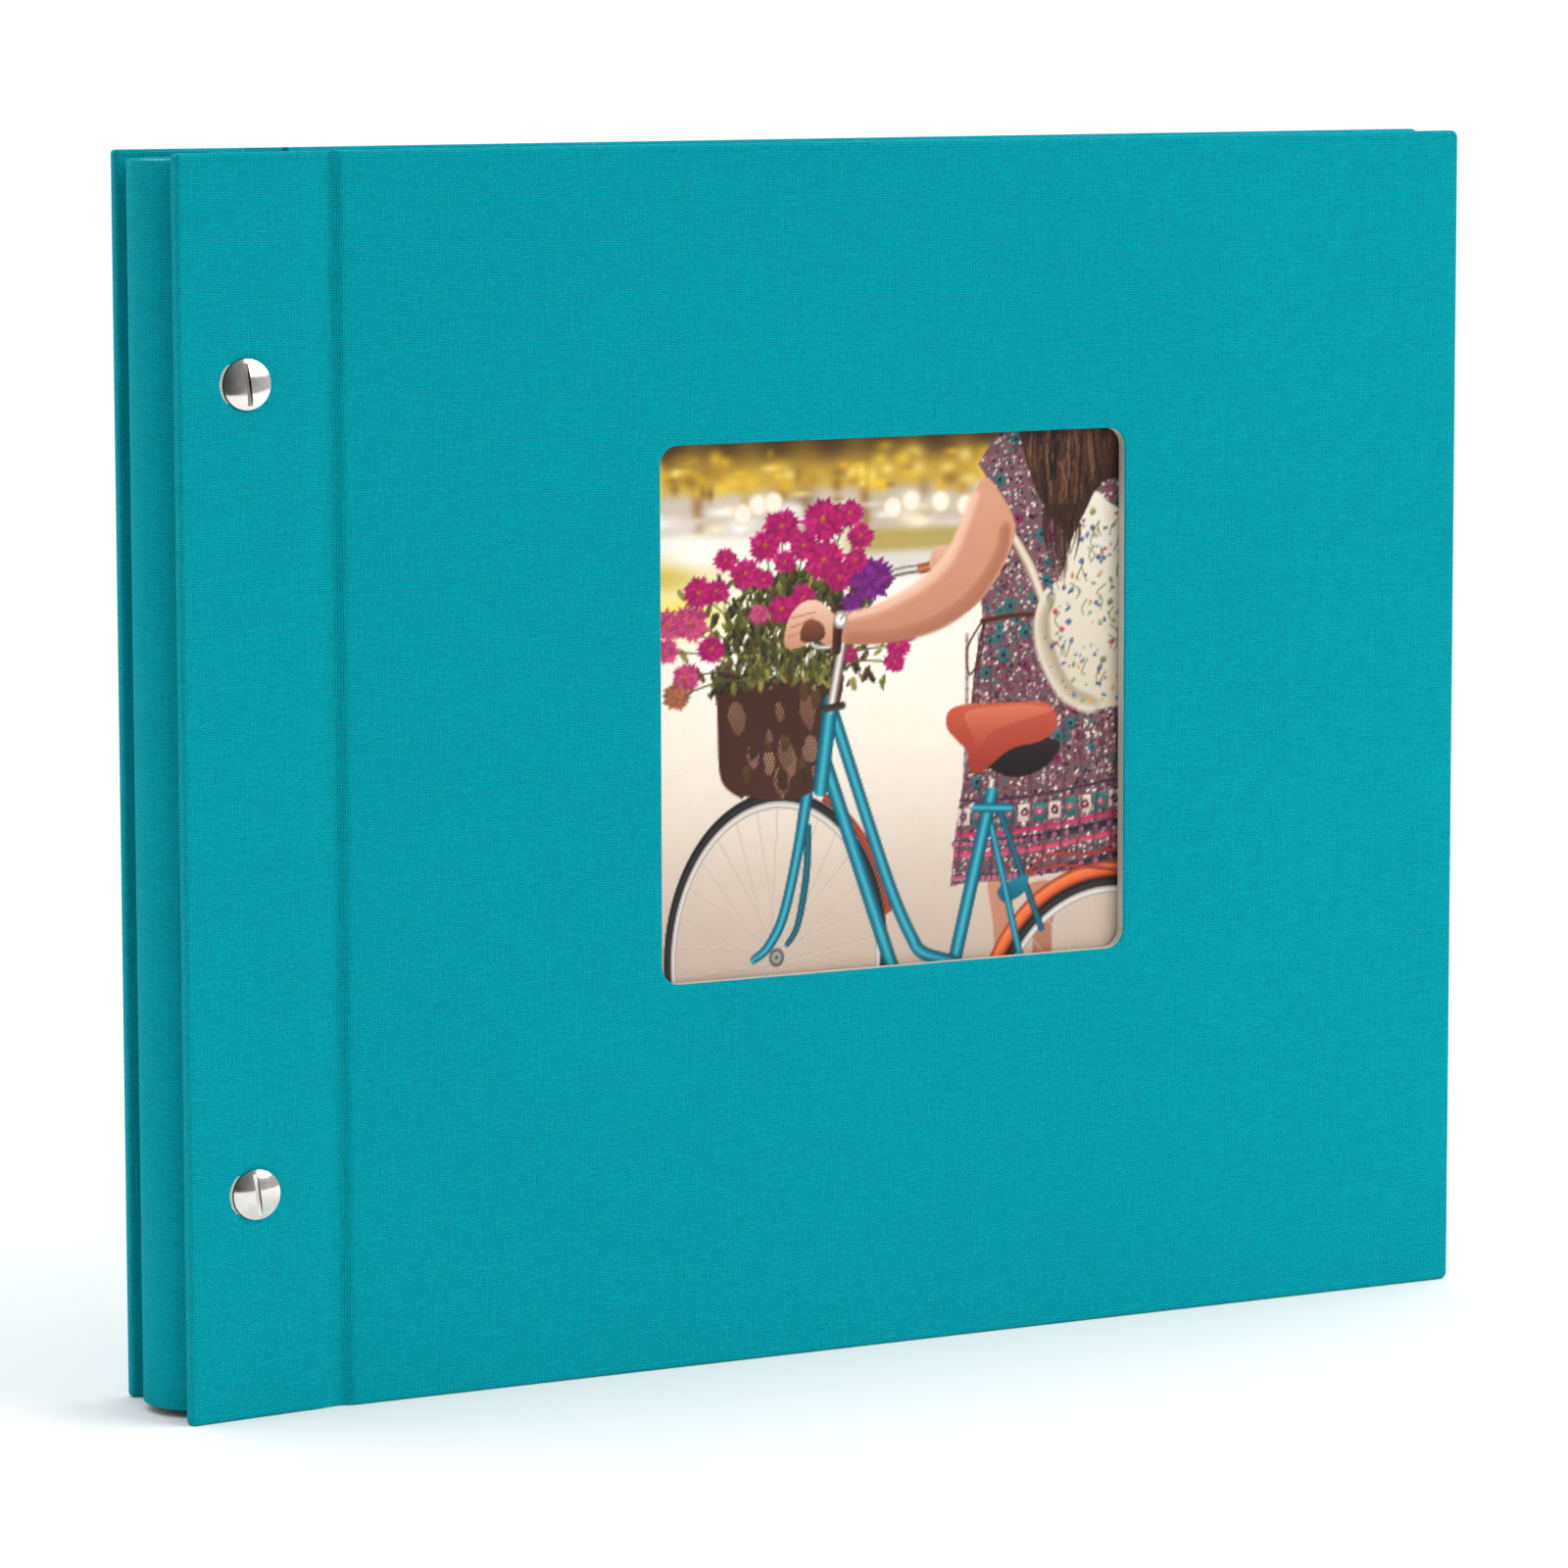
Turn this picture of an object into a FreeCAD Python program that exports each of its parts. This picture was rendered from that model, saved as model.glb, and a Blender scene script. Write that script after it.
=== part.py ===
"""Screw-post scrapbook album: landscape, linen-covered, with a window in the front cover. It stands upright.

Millimetres. +X runs from the spine to the fore edge, +Y from the front cover to the back cover, +Z up.
The parts are drawn with x = 0 at the spine edge of the covers, and moved to the origin when they are
written: the origin is under the middle of the album's box, on the surface that it stands on.
"""

import FreeCAD, Part
import math
import os

from FreeCAD import Vector

# Covers
COVER_WIDTH = 300.0
COVER_HEIGHT = 250.0
BOARD = 2.2  # greyboard core
CLOTH = 0.35  # linen bookcloth
TURN_IN = 0.2  # cloth folded over onto the inner face, pressed thin
TURN_IN_WIDTH = 14.0
LINER = 0.15  # endpaper, where it lies over the turn-in
LINER_INSET = 4.0
COVER = CLOTH + BOARD + TURN_IN + LINER
CORNER = 1.2

# The cover's hinge: a narrow strip held by the screws, a cloth groove, then the main board
STRIP_WIDTH = 27.0
GROOVE_WIDTH = 9.0
GROOVE_DEPTH = 1.2
GROOVE_CLOTH = 0.6  # outer cloth and lining, glued together
STRIP_BAND_END = 32.6  # the half of the groove's cloth that stays with the strip
BOARD_BAND_START = 33.0  # the half that turns with the board
BOARD_START = STRIP_WIDTH + GROOVE_WIDTH
HINGE_X = STRIP_WIDTH + GROOVE_WIDTH / 2
HINGE_Y = 13.85  # from the middle plane to the covers' outer faces at the groove
FORE_Y = 9.1  # the same at the fore edge, where the leaves are thinner than at their stubs
TAPER = math.degrees(math.atan((HINGE_Y - FORE_Y) / (COVER_WIDTH - HINGE_X)))
FLARE = 6.5  # degrees that the strips lean out towards the spine

# Window in the front cover, with a pocket behind it
WINDOW = 110.0
WINDOW_LEFT = 106.5
WINDOW_MIDDLE_Z = COVER_HEIGHT / 2 + 9.4
WINDOW_CORNER = 4.0
LINER_WINDOW_MARGIN = 1.0
PRINT = 118.0
PRINT_THICK = 0.25
POCKET_GAP = 0.35
POCKET_SIDE_PLAY = 0.4
POCKET_RIM = 6.0
POCKET_CARD = 0.35
POCKET_OPENING_ABOVE = 9.0  # from the window's top edge down to where the pocket card stops

# Binding screws and posts
SCREW_X = 15.0
SCREW_SPACING = 160.0
SCREW_ZS = [COVER_HEIGHT / 2 - SCREW_SPACING / 2, COVER_HEIGHT / 2 + SCREW_SPACING / 2]
HEAD_RADIUS = 5.0
HEAD_RIM = 0.45
HEAD_HEIGHT = 1.3
SLOT_WIDTH = 1.05
SLOT_DEPTH = 0.6
SLOT_LEAN = 7.0  # degrees, the slot's top towards the spine when the screw is done up
SHANK_RADIUS = 1.7
SHANK_LENGTH = 9.0
BARREL_RADIUS = 2.5
BORE_RADIUS = 1.8
BORE_DEPTH = 14.0
POST_HOLE_RADIUS = 2.8
SEAT_RADIUS = 5.2
SEAT_Y = HINGE_Y + (STRIP_WIDTH - SCREW_X) * math.tan(math.radians(FLARE))
HEAD_LIFT = 0.05
BARREL_END_Y = -13.0

# Spine: a rounded, cloth-covered piece whose flanges lie between the strips and the stubs
SPINE_RADIUS = 11.6
SPINE_BOARD = 0.85
SPINE_CENTRE_X = 9.2
SPINE_FLANGE_END = 20.0
SPINE_INSET = 1.5  # shorter than the covers at the top and at the bottom

# Leaves: scored card with a thicker stub, which the posts go through
LEAVES = 20
STUB_PITCH = 1.04
STUB_THICK = 1.0
STUB_START = SPINE_CENTRE_X + 0.2
STUB_END = 32.0
LEAF_MARGIN = 5.0
LEAF_THICK = 0.3
CREASE_X = 33.0
SCORED_START = 33.3
SCORED_END = 37.0
SCORED_THICK = 0.1  # crushed by the scoring, so that the leaf turns there
LEAF_END = 295.0
LEAF_FORE_Y = 5.2  # from the middle plane to the outermost leaf at the fore edge

ORIGIN_X = (SPINE_CENTRE_X - SPINE_RADIUS + COVER_WIDTH) / 2


def box(x0, x1, y0, y1, z0, z1):
    return Part.makeBox(x1 - x0, y1 - y0, z1 - z0, Vector(x0, y0, z0))


def rod(radius, x, z, y0, y1):
    """A cylinder along Y."""
    return Part.makeCylinder(radius, y1 - y0, Vector(x, y0, z), Vector(0, 1, 0))


def turned(shape, x, degrees):
    """The shape turned about the upright line through (x, 0)."""
    moved = shape.copy()
    moved.rotate(Vector(x, 0, 0), Vector(0, 0, 1), degrees)
    return moved


def shifted(shape, y):
    moved = shape.copy()
    moved.translate(Vector(0, y, 0))
    return moved


def as_cover(flat):
    """A piece of the front main board, drawn flat with its outer face on y = 0, put in its place."""
    return shifted(turned(flat, HINGE_X, TAPER), -HINGE_Y)


def as_strip(flat):
    """The same for a piece of the front hinge strip."""
    return shifted(turned(flat, STRIP_WIDTH, FLARE), -HINGE_Y)


def behind(front_piece):
    """The matching piece of the back cover."""
    return front_piece.mirror(Vector(0, 0, 0), Vector(0, 1, 0))


def rounded_plate(x0, x1, y0, y1, z0, z1, radius):
    """A plate lying in the XZ plane, with all four of its corners rounded."""
    plate = box(x0, x1, y0, y1, z0, z1)
    corners = [e for e in plate.Edges if abs(e.tangentAt(e.FirstParameter).y) > 0.9]
    return plate.makeFillet(radius, corners)


def fore_rounded_plate(x0, x1, y0, y1, z0, z1, radius):
    """A plate lying in the XZ plane, with only its two fore-edge corners rounded."""
    plate = box(x0, x1, y0, y1, z0, z1)
    corners = [
        e
        for e in plate.Edges
        if abs(e.tangentAt(e.FirstParameter).y) > 0.9 and e.CenterOfMass.x > (x0 + x1) / 2
    ]
    return plate.makeFillet(radius, corners)


# ---- groove


def groove_band(x0, x1):
    """Part of the glued cloth that bridges the groove, which is dished towards the leaves."""
    start, end = STRIP_WIDTH - CLOTH, BOARD_START + CLOTH
    outer = Part.Arc(Vector(start, 0, 0), Vector(HINGE_X, GROOVE_DEPTH, 0), Vector(end, 0, 0))
    inner = Part.Arc(
        Vector(start, GROOVE_CLOTH, 0),
        Vector(HINGE_X, GROOVE_DEPTH + GROOVE_CLOTH, 0),
        Vector(end, GROOVE_CLOTH, 0),
    )
    ends = [
        Part.LineSegment(Vector(x, 0, 0), Vector(x, GROOVE_CLOTH, 0)).toShape()
        for x in (start, end)
    ]
    outline = Part.Wire(Part.__sortEdges__([outer.toShape(), inner.toShape()] + ends))
    band = Part.Face(outline).extrude(Vector(0, 0, COVER_HEIGHT))
    return band.common(box(x0, x1, 0, GROOVE_DEPTH + GROOVE_CLOTH, 0, COVER_HEIGHT))


# ---- main boards


def board_core():
    return fore_rounded_plate(
        BOARD_START, COVER_WIDTH - CLOTH, CLOTH, CLOTH + BOARD, CLOTH, COVER_HEIGHT - CLOTH, CORNER
    )


def board_cloth():
    """The cloth over the outer face and round three edges, with its turned-in margins."""
    inner_y = CLOTH + BOARD + TURN_IN
    whole = fore_rounded_plate(BOARD_START, COVER_WIDTH, 0, inner_y, 0, COVER_HEIGHT, CORNER + CLOTH)
    bare = box(
        BOARD_START,
        COVER_WIDTH - TURN_IN_WIDTH,
        CLOTH + BOARD,
        inner_y,
        TURN_IN_WIDTH,
        COVER_HEIGHT - TURN_IN_WIDTH,
    )
    band = groove_band(BOARD_BAND_START, BOARD_START + CLOTH).cut(board_core())
    return whole.cut(board_core()).cut(bare).fuse(band).removeSplitter()


def board_liner():
    """Endpaper: it fills the space between the turned-in margins and overlaps them."""
    board_y = CLOTH + BOARD
    middle = box(
        BOARD_START,
        COVER_WIDTH - TURN_IN_WIDTH,
        board_y,
        board_y + TURN_IN,
        TURN_IN_WIDTH,
        COVER_HEIGHT - TURN_IN_WIDTH,
    )
    sheet = box(
        BOARD_START,
        COVER_WIDTH - LINER_INSET,
        board_y + TURN_IN,
        COVER,
        LINER_INSET,
        COVER_HEIGHT - LINER_INSET,
    )
    return middle.fuse(sheet).removeSplitter()


# ---- window, pocket and print


def window_hole(margin):
    half = WINDOW / 2 + margin
    middle_x = WINDOW_LEFT + WINDOW / 2
    return rounded_plate(
        middle_x - half,
        middle_x + half,
        -COVER,
        2 * COVER,
        WINDOW_MIDDLE_Z - half,
        WINDOW_MIDDLE_Z + half,
        WINDOW_CORNER,
    )


def window_pocket():
    """A card behind the window with a raised rim at its sides and foot, open at its top."""
    middle_x = WINDOW_LEFT + WINDOW / 2
    slot_half = PRINT / 2 + POCKET_SIDE_PLAY
    outer_half = slot_half + POCKET_RIM
    foot_z = WINDOW_MIDDLE_Z - PRINT / 2
    top_z = WINDOW_MIDDLE_Z + WINDOW / 2 - POCKET_OPENING_ABOVE
    whole = box(
        middle_x - outer_half,
        middle_x + outer_half,
        COVER,
        COVER + POCKET_GAP + POCKET_CARD,
        foot_z - POCKET_RIM,
        top_z,
    )
    slot = box(
        middle_x - slot_half, middle_x + slot_half, COVER, COVER + POCKET_GAP, foot_z, top_z
    )
    return whole.cut(slot)


def window_print():
    middle_x = WINDOW_LEFT + WINDOW / 2
    front_y = COVER + (POCKET_GAP - PRINT_THICK) / 2
    return box(
        middle_x - PRINT / 2,
        middle_x + PRINT / 2,
        front_y,
        front_y + PRINT_THICK,
        WINDOW_MIDDLE_Z - PRINT / 2,
        WINDOW_MIDDLE_Z + PRINT / 2,
    )


# ---- hinge strips


def with_screw_seats(strip_piece):
    """Cuts the post holes, and the shallow seats that the screw heads press into the cloth and board."""
    cut = strip_piece
    for z in SCREW_ZS:
        cut = cut.cut(rod(POST_HOLE_RADIUS, SCREW_X, z, -2 * HINGE_Y, 0))
        cut = cut.cut(rod(SEAT_RADIUS, SCREW_X, z, -2 * HINGE_Y, -SEAT_Y))
    return cut


def strip_core():
    return box(CLOTH, STRIP_WIDTH, CLOTH, CLOTH + BOARD, CLOTH, COVER_HEIGHT - CLOTH)


def hinge_board():
    return with_screw_seats(as_strip(strip_core()))


def hinge_cloth():
    sleeve = box(0, STRIP_WIDTH, 0, COVER, 0, COVER_HEIGHT).cut(strip_core())
    band = shifted(groove_band(STRIP_WIDTH - CLOTH, STRIP_BAND_END), -HINGE_Y)
    band = band.cut(as_strip(strip_core()))
    return with_screw_seats(as_strip(sleeve)).fuse(band).removeSplitter()


# ---- spine


def bow(radius, z0, z1):
    """A solid with the spine's outline at this radius: a half round, and straight sides to the flanges' end."""
    round_part = Part.makeCylinder(radius, z1 - z0, Vector(SPINE_CENTRE_X, 0, z0))
    sides = box(SPINE_CENTRE_X, SPINE_FLANGE_END, -radius, radius, z0, z1)
    behind_centre = box(
        SPINE_CENTRE_X, SPINE_CENTRE_X + 2 * radius, -radius, radius, z0, z1
    )
    return round_part.cut(behind_centre).fuse(sides).removeSplitter()


def with_post_holes(shape):
    cut = shape
    for z in SCREW_ZS:
        cut = cut.cut(rod(POST_HOLE_RADIUS, SCREW_X, z, -2 * HINGE_Y, 2 * HINGE_Y))
    return cut


def spine_board():
    z0, z1 = SPINE_INSET + CLOTH, COVER_HEIGHT - SPINE_INSET - CLOTH
    outer = SPINE_RADIUS - CLOTH
    return with_post_holes(bow(outer, z0, z1).cut(bow(outer - SPINE_BOARD, z0, z1)))


def spine_cloth():
    """Covers the outer face of the spine board, and folds over its top and bottom edges."""
    z0, z1 = SPINE_INSET, COVER_HEIGHT - SPINE_INSET
    board_outer = SPINE_RADIUS - CLOTH
    whole = bow(SPINE_RADIUS, z0, z1)
    core = bow(board_outer, z0 + CLOTH, z1 - CLOTH)
    hollow = bow(board_outer - SPINE_BOARD, z0, z1)
    return with_post_holes(whole.cut(core).cut(hollow))


# ---- binding screws and posts


def domed_head(z):
    """A low domed head at the front, its flat underside facing the album."""
    cap_rise = HEAD_HEIGHT - HEAD_RIM
    ball_radius = (HEAD_RADIUS**2 + cap_rise**2) / (2 * cap_rise)
    seat = -SEAT_Y - HEAD_LIFT
    blank = rod(HEAD_RADIUS, SCREW_X, z, seat - HEAD_HEIGHT, seat)
    ball = Part.makeSphere(ball_radius, Vector(SCREW_X, seat - HEAD_HEIGHT + ball_radius, z))
    return blank.common(ball)


def screw(z):
    """Male screw: slotted head at the front, plain shank in the post's bore."""
    seat = -SEAT_Y - HEAD_LIFT
    slot = box(
        SCREW_X - SLOT_WIDTH / 2,
        SCREW_X + SLOT_WIDTH / 2,
        seat - 2 * HEAD_HEIGHT,
        seat - HEAD_HEIGHT + SLOT_DEPTH,
        z - 2 * HEAD_RADIUS,
        z + 2 * HEAD_RADIUS,
    )
    slot.rotate(Vector(SCREW_X, 0, z), Vector(0, 1, 0), -SLOT_LEAN)
    shank = rod(SHANK_RADIUS, SCREW_X, z, seat, seat + SHANK_LENGTH)
    return domed_head(z).cut(slot).fuse(shank).removeSplitter()


def post(z):
    """Female post: domed head on the back strip, bored barrel through the stubs."""
    barrel = rod(BARREL_RADIUS, SCREW_X, z, BARREL_END_Y, SEAT_Y + HEAD_LIFT)
    bore = rod(BORE_RADIUS, SCREW_X, z, BARREL_END_Y, BARREL_END_Y + BORE_DEPTH)
    return behind(domed_head(z)).fuse(barrel).cut(bore).removeSplitter()


# ---- leaves


def leaf_step(number):
    """How many pitches the leaf stands behind the middle plane. Leaf 1 is at the front."""
    return number - (LEAVES + 1) / 2


def stub(number):
    y = leaf_step(number) * STUB_PITCH
    plate = box(
        STUB_START,
        STUB_END,
        y - STUB_THICK / 2,
        y + STUB_THICK / 2,
        LEAF_MARGIN,
        COVER_HEIGHT - LEAF_MARGIN,
    )
    return with_post_holes(plate)


def leaf(number):
    """The leaf beyond its stub: a thin scored band, then the card, lying between the tapering covers."""
    crease_y = leaf_step(number) * STUB_PITCH
    fore_y = leaf_step(number) * 2 * LEAF_FORE_Y / (LEAVES - 1)
    z0, z1 = LEAF_MARGIN, COVER_HEIGHT - LEAF_MARGIN
    scored = box(SCORED_START, SCORED_END, -SCORED_THICK / 2, SCORED_THICK / 2, z0, z1)
    card = box(SCORED_END, LEAF_END, -LEAF_THICK / 2, LEAF_THICK / 2, z0, z1)
    lean = math.degrees(math.atan((fore_y - crease_y) / (LEAF_END - CREASE_X)))
    return shifted(turned(scored.fuse(card), CREASE_X, lean), crease_y)


def write(name, *solids):
    """Moves the solids to the album's origin and writes them as one node."""
    shape = solids[0] if len(solids) == 1 else Part.makeCompound(list(solids))
    placed = shape.copy()
    placed.translate(Vector(-ORIGIN_X, 0, 0))
    if not placed.isValid():
        raise ValueError(f"{name} is not a valid shape")
    placed.exportStep(f"parts/{name}.step")
    print(f"{name}: {len(placed.Solids)} solid(s), {placed.Volume:.1f} mm3")


os.makedirs("parts", exist_ok=True)

write("front_board", as_cover(board_core().cut(window_hole(0))))
write("front_cloth", as_cover(board_cloth().cut(window_hole(0))))
write("front_liner", as_cover(board_liner().cut(window_hole(LINER_WINDOW_MARGIN))))
write("window_pocket", as_cover(window_pocket()))
write("window_print", as_cover(window_print()))
write("back_board", behind(as_cover(board_core())))
write("back_cloth", behind(as_cover(board_cloth())))
write("back_liner", behind(as_cover(board_liner())))
write("front_hinge_board", hinge_board())
write("front_hinge_cloth", hinge_cloth())
write("back_hinge_board", behind(hinge_board()))
write("back_hinge_cloth", behind(hinge_cloth()))
write("spine_board", spine_board())
write("spine_cloth", spine_cloth())
write("binding_posts", *[post(z) for z in SCREW_ZS])
write("screw_lower", screw(SCREW_ZS[0]))
write("screw_upper", screw(SCREW_ZS[1]))
write("leaf_stubs", *[stub(number) for number in range(1, LEAVES + 1)])
for number in range(1, LEAVES + 1):
    write(f"leaf_{number:02d}", leaf(number))
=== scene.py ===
"""Looks of the screw-post scrapbook album: linen cloth, greyboard, card leaves, nickel screws and the print.

Sizes are in millimetres, with x = 0 at the covers' spine edge, as in the part's source. Only place() turns
them into the frame's metres.
"""

import math
import random

import bmesh
import bpy
import numpy as np
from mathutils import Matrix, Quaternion, Vector


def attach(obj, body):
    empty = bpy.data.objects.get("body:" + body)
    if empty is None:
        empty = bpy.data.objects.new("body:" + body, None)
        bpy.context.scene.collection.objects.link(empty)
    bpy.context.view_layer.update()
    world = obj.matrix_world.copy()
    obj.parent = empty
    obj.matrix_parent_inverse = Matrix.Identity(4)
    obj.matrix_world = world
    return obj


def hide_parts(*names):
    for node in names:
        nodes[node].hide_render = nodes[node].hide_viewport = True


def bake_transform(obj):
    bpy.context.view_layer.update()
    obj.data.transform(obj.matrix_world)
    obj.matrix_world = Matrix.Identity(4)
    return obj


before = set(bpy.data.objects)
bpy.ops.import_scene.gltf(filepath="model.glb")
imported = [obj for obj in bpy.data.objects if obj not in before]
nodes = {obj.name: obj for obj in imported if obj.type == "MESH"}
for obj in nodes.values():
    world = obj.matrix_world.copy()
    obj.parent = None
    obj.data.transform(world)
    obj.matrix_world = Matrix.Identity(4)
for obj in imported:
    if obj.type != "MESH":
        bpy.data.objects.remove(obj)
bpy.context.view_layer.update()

# ---- sizes, the same as the part's

ORIGIN_X = 148.8
WIDTH, HEIGHT = 300.0, 250.0
CLOTH = 0.35
STRIP_END, BOARD_START = 27.0, 36.0
STRIP_THICK, BOARD_THICK = 2.9, 2.75
GROOVE_CLOTH, GROOVE_DEPTH, GROOVE_BOTTOM = 0.6, 1.2, 33.9
TURN_IN = 14.0
HINGE_X, HINGE_Y, FORE_Y = 31.5, 13.85, 9.1
TAPER = math.atan((HINGE_Y - FORE_Y) / (WIDTH - HINGE_X))
FLARE = math.radians(6.5)
WINDOW, WINDOW_LEFT, WINDOW_CORNER = 110.0, 106.5, 4.0
WINDOW_FOOT = HEIGHT / 2 + 9.4 - WINDOW / 2
SCREW_X, SCREW_ZS = 15.0, (45.0, 205.0)
SEAT_Y = HINGE_Y + (STRIP_END - SCREW_X) * math.tan(FLARE)
SPINE_RADIUS, SPINE_X, SPINE_END, SPINE_WALL, SPINE_INSET = 11.6, 9.2, 20.0, 1.2, 1.5
SPINE_FOLD, ROUND_STEPS = 12.0, 40  # cloth folded in over its ends, and faces round it
LEAVES, PITCH, CREASE_X, LEAF_END, LEAF_MARGIN, LEAF_FORE_Y = 20, 1.04, 33.0, 295.0, 5.0, 5.2
LEAF_HALF, SCORES, SCORE_DEPTH, SCORE_WIDTH = 0.15, (33.3, 35.9), 0.07, 0.32

PRINT, PRINT_DEPTH, PRINT_BACK = 118.0, 2.95, 3.2
PRINT_DEPTH_OF_TONE = 1.12  # over 1 makes the print's middle tones deeper
PRINT_BLEED, PRINT_CELL = 1.2, 0.36  # painted beyond the window, and the spacing of the painted points

EDGE_RADIUS = 0.8  # how softly the cloth turns over the boards' edges
EDGE_STEPS, CORNER_STEPS, WINDOW_STEPS = 5, 6, 8  # faces round an edge, a cover's corner and a window's corner
FORE_CORNER, SPINE_CORNER = 1.55, 0.8  # radii of the cover's corners
GRID_INSET = 1.55  # from the cover's outline to where the flat faces start
LINING_SHIFT = 400.0  # sets the lining's weave apart from the face's
CUT_MARGIN = 2.0  # how far the window's own faces reach into the cover
WEAR_REACH = 1.0  # how far in from an edge the cloth is rubbed


def place(x, y, z):
    return ((x - ORIGIN_X) / 1000, y / 1000, z / 1000)


def smooth(t):
    t = min(max(t, 0.0), 1.0)
    return t * t * (3 - 2 * t)


def span(start, end, step):
    """Stations from start to end, about a step apart, both ends included."""
    count = max(1, round((end - start) / step))
    return [start + (end - start) * i / count for i in range(count + 1)]


def stations(*runs):
    found = sorted(set(round(v, 4) for run in runs for v in run))
    return [v for i, v in enumerate(found) if i == 0 or v - found[i - 1] > 0.01]


def quarter(steps, start=0.0):
    """The angles of a quarter turn."""
    return [start + math.pi / 2 * i / steps for i in range(steps + 1)]


def walk(line):
    """How far along a line of (x, y, ...) each of its points lies."""
    found = [0.0]
    for a, b in zip(line, line[1:]):
        found.append(found[-1] + math.hypot(b[0] - a[0], b[1] - a[1]))
    return found


# ---- mesh building


class Build:
    """Collects faces with their own UVs, in millimetres, and welds them into one object."""

    def __init__(self):
        self.points, self.faces, self.uvs, self.marks = [], [], [], []

    def point(self, p):
        self.points.append(p)
        return len(self.points) - 1

    def face(self, corners, uvs, mark=0):
        self.faces.append(corners)
        self.uvs.append(uvs)
        self.marks.append(mark)

    def grid(self, rows, us, vs, flip=False, mark=0):
        """Faces over a grid of points, rows along u and columns along v."""
        for i in range(len(us) - 1):
            for j in range(len(vs) - 1):
                self.cell(rows, us, vs, i, j, flip, mark)

    def cell(self, rows, us, vs, i, j, flip=False, mark=0, shift=0.0):
        """One face of a grid. Flipped, it faces the other way."""
        ring = [(i, j), (i, j + 1), (i + 1, j + 1), (i + 1, j)] if flip else [(i, j), (i + 1, j), (i + 1, j + 1),
            (i, j + 1)]
        self.face([rows[a][b] for a, b in ring], [(us[a] + shift, vs[b]) for a, b in ring], mark)

    def bands(self, rings):
        """Faces between closed rings of (point, uv)."""
        for a, b in zip(rings, rings[1:]):
            for m in range(len(a)):
                ends = a[m], a[(m + 1) % len(a)], b[(m + 1) % len(a)], b[m]
                self.face([p for p, uv in ends], [uv for p, uv in ends])

    def finish(self, name, materials, sharp=35, outward=None):
        mesh = bpy.data.meshes.new(name)
        mesh.from_pydata([place(*p) for p in self.points], [], self.faces)
        layer = mesh.uv_layers.new(name="cloth")
        loop = 0
        for corners in self.uvs:
            for u, v in corners:
                layer.data[loop].uv = (u / 1000, v / 1000)
                loop += 1
        for polygon, mark in zip(mesh.polygons, self.marks):
            polygon.material_index = mark
        for material in materials:
            mesh.materials.append(material)
        bm = bmesh.new()
        bm.from_mesh(mesh)
        bmesh.ops.remove_doubles(bm, verts=bm.verts, dist=2e-6)
        bmesh.ops.dissolve_degenerate(bm, edges=bm.edges, dist=1e-7)
        bmesh.ops.recalc_face_normals(bm, faces=bm.faces)
        if outward is not None:
            total = sum((f.normal.dot(Vector(outward(f.calc_center_median()))) * f.calc_area() for f in bm.faces),
                0.0)
            if total < 0:
                bmesh.ops.reverse_faces(bm, faces=bm.faces)
        for f in bm.faces:
            f.smooth = True
        for e in bm.edges:
            e.smooth = len(e.link_faces) < 2 or e.calc_face_angle(0) < math.radians(sharp)
        bm.to_mesh(mesh)
        bm.free()
        obj = bpy.data.objects.new(name, mesh)
        bpy.context.collection.objects.link(obj)
        return obj


# ---- materials


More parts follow.
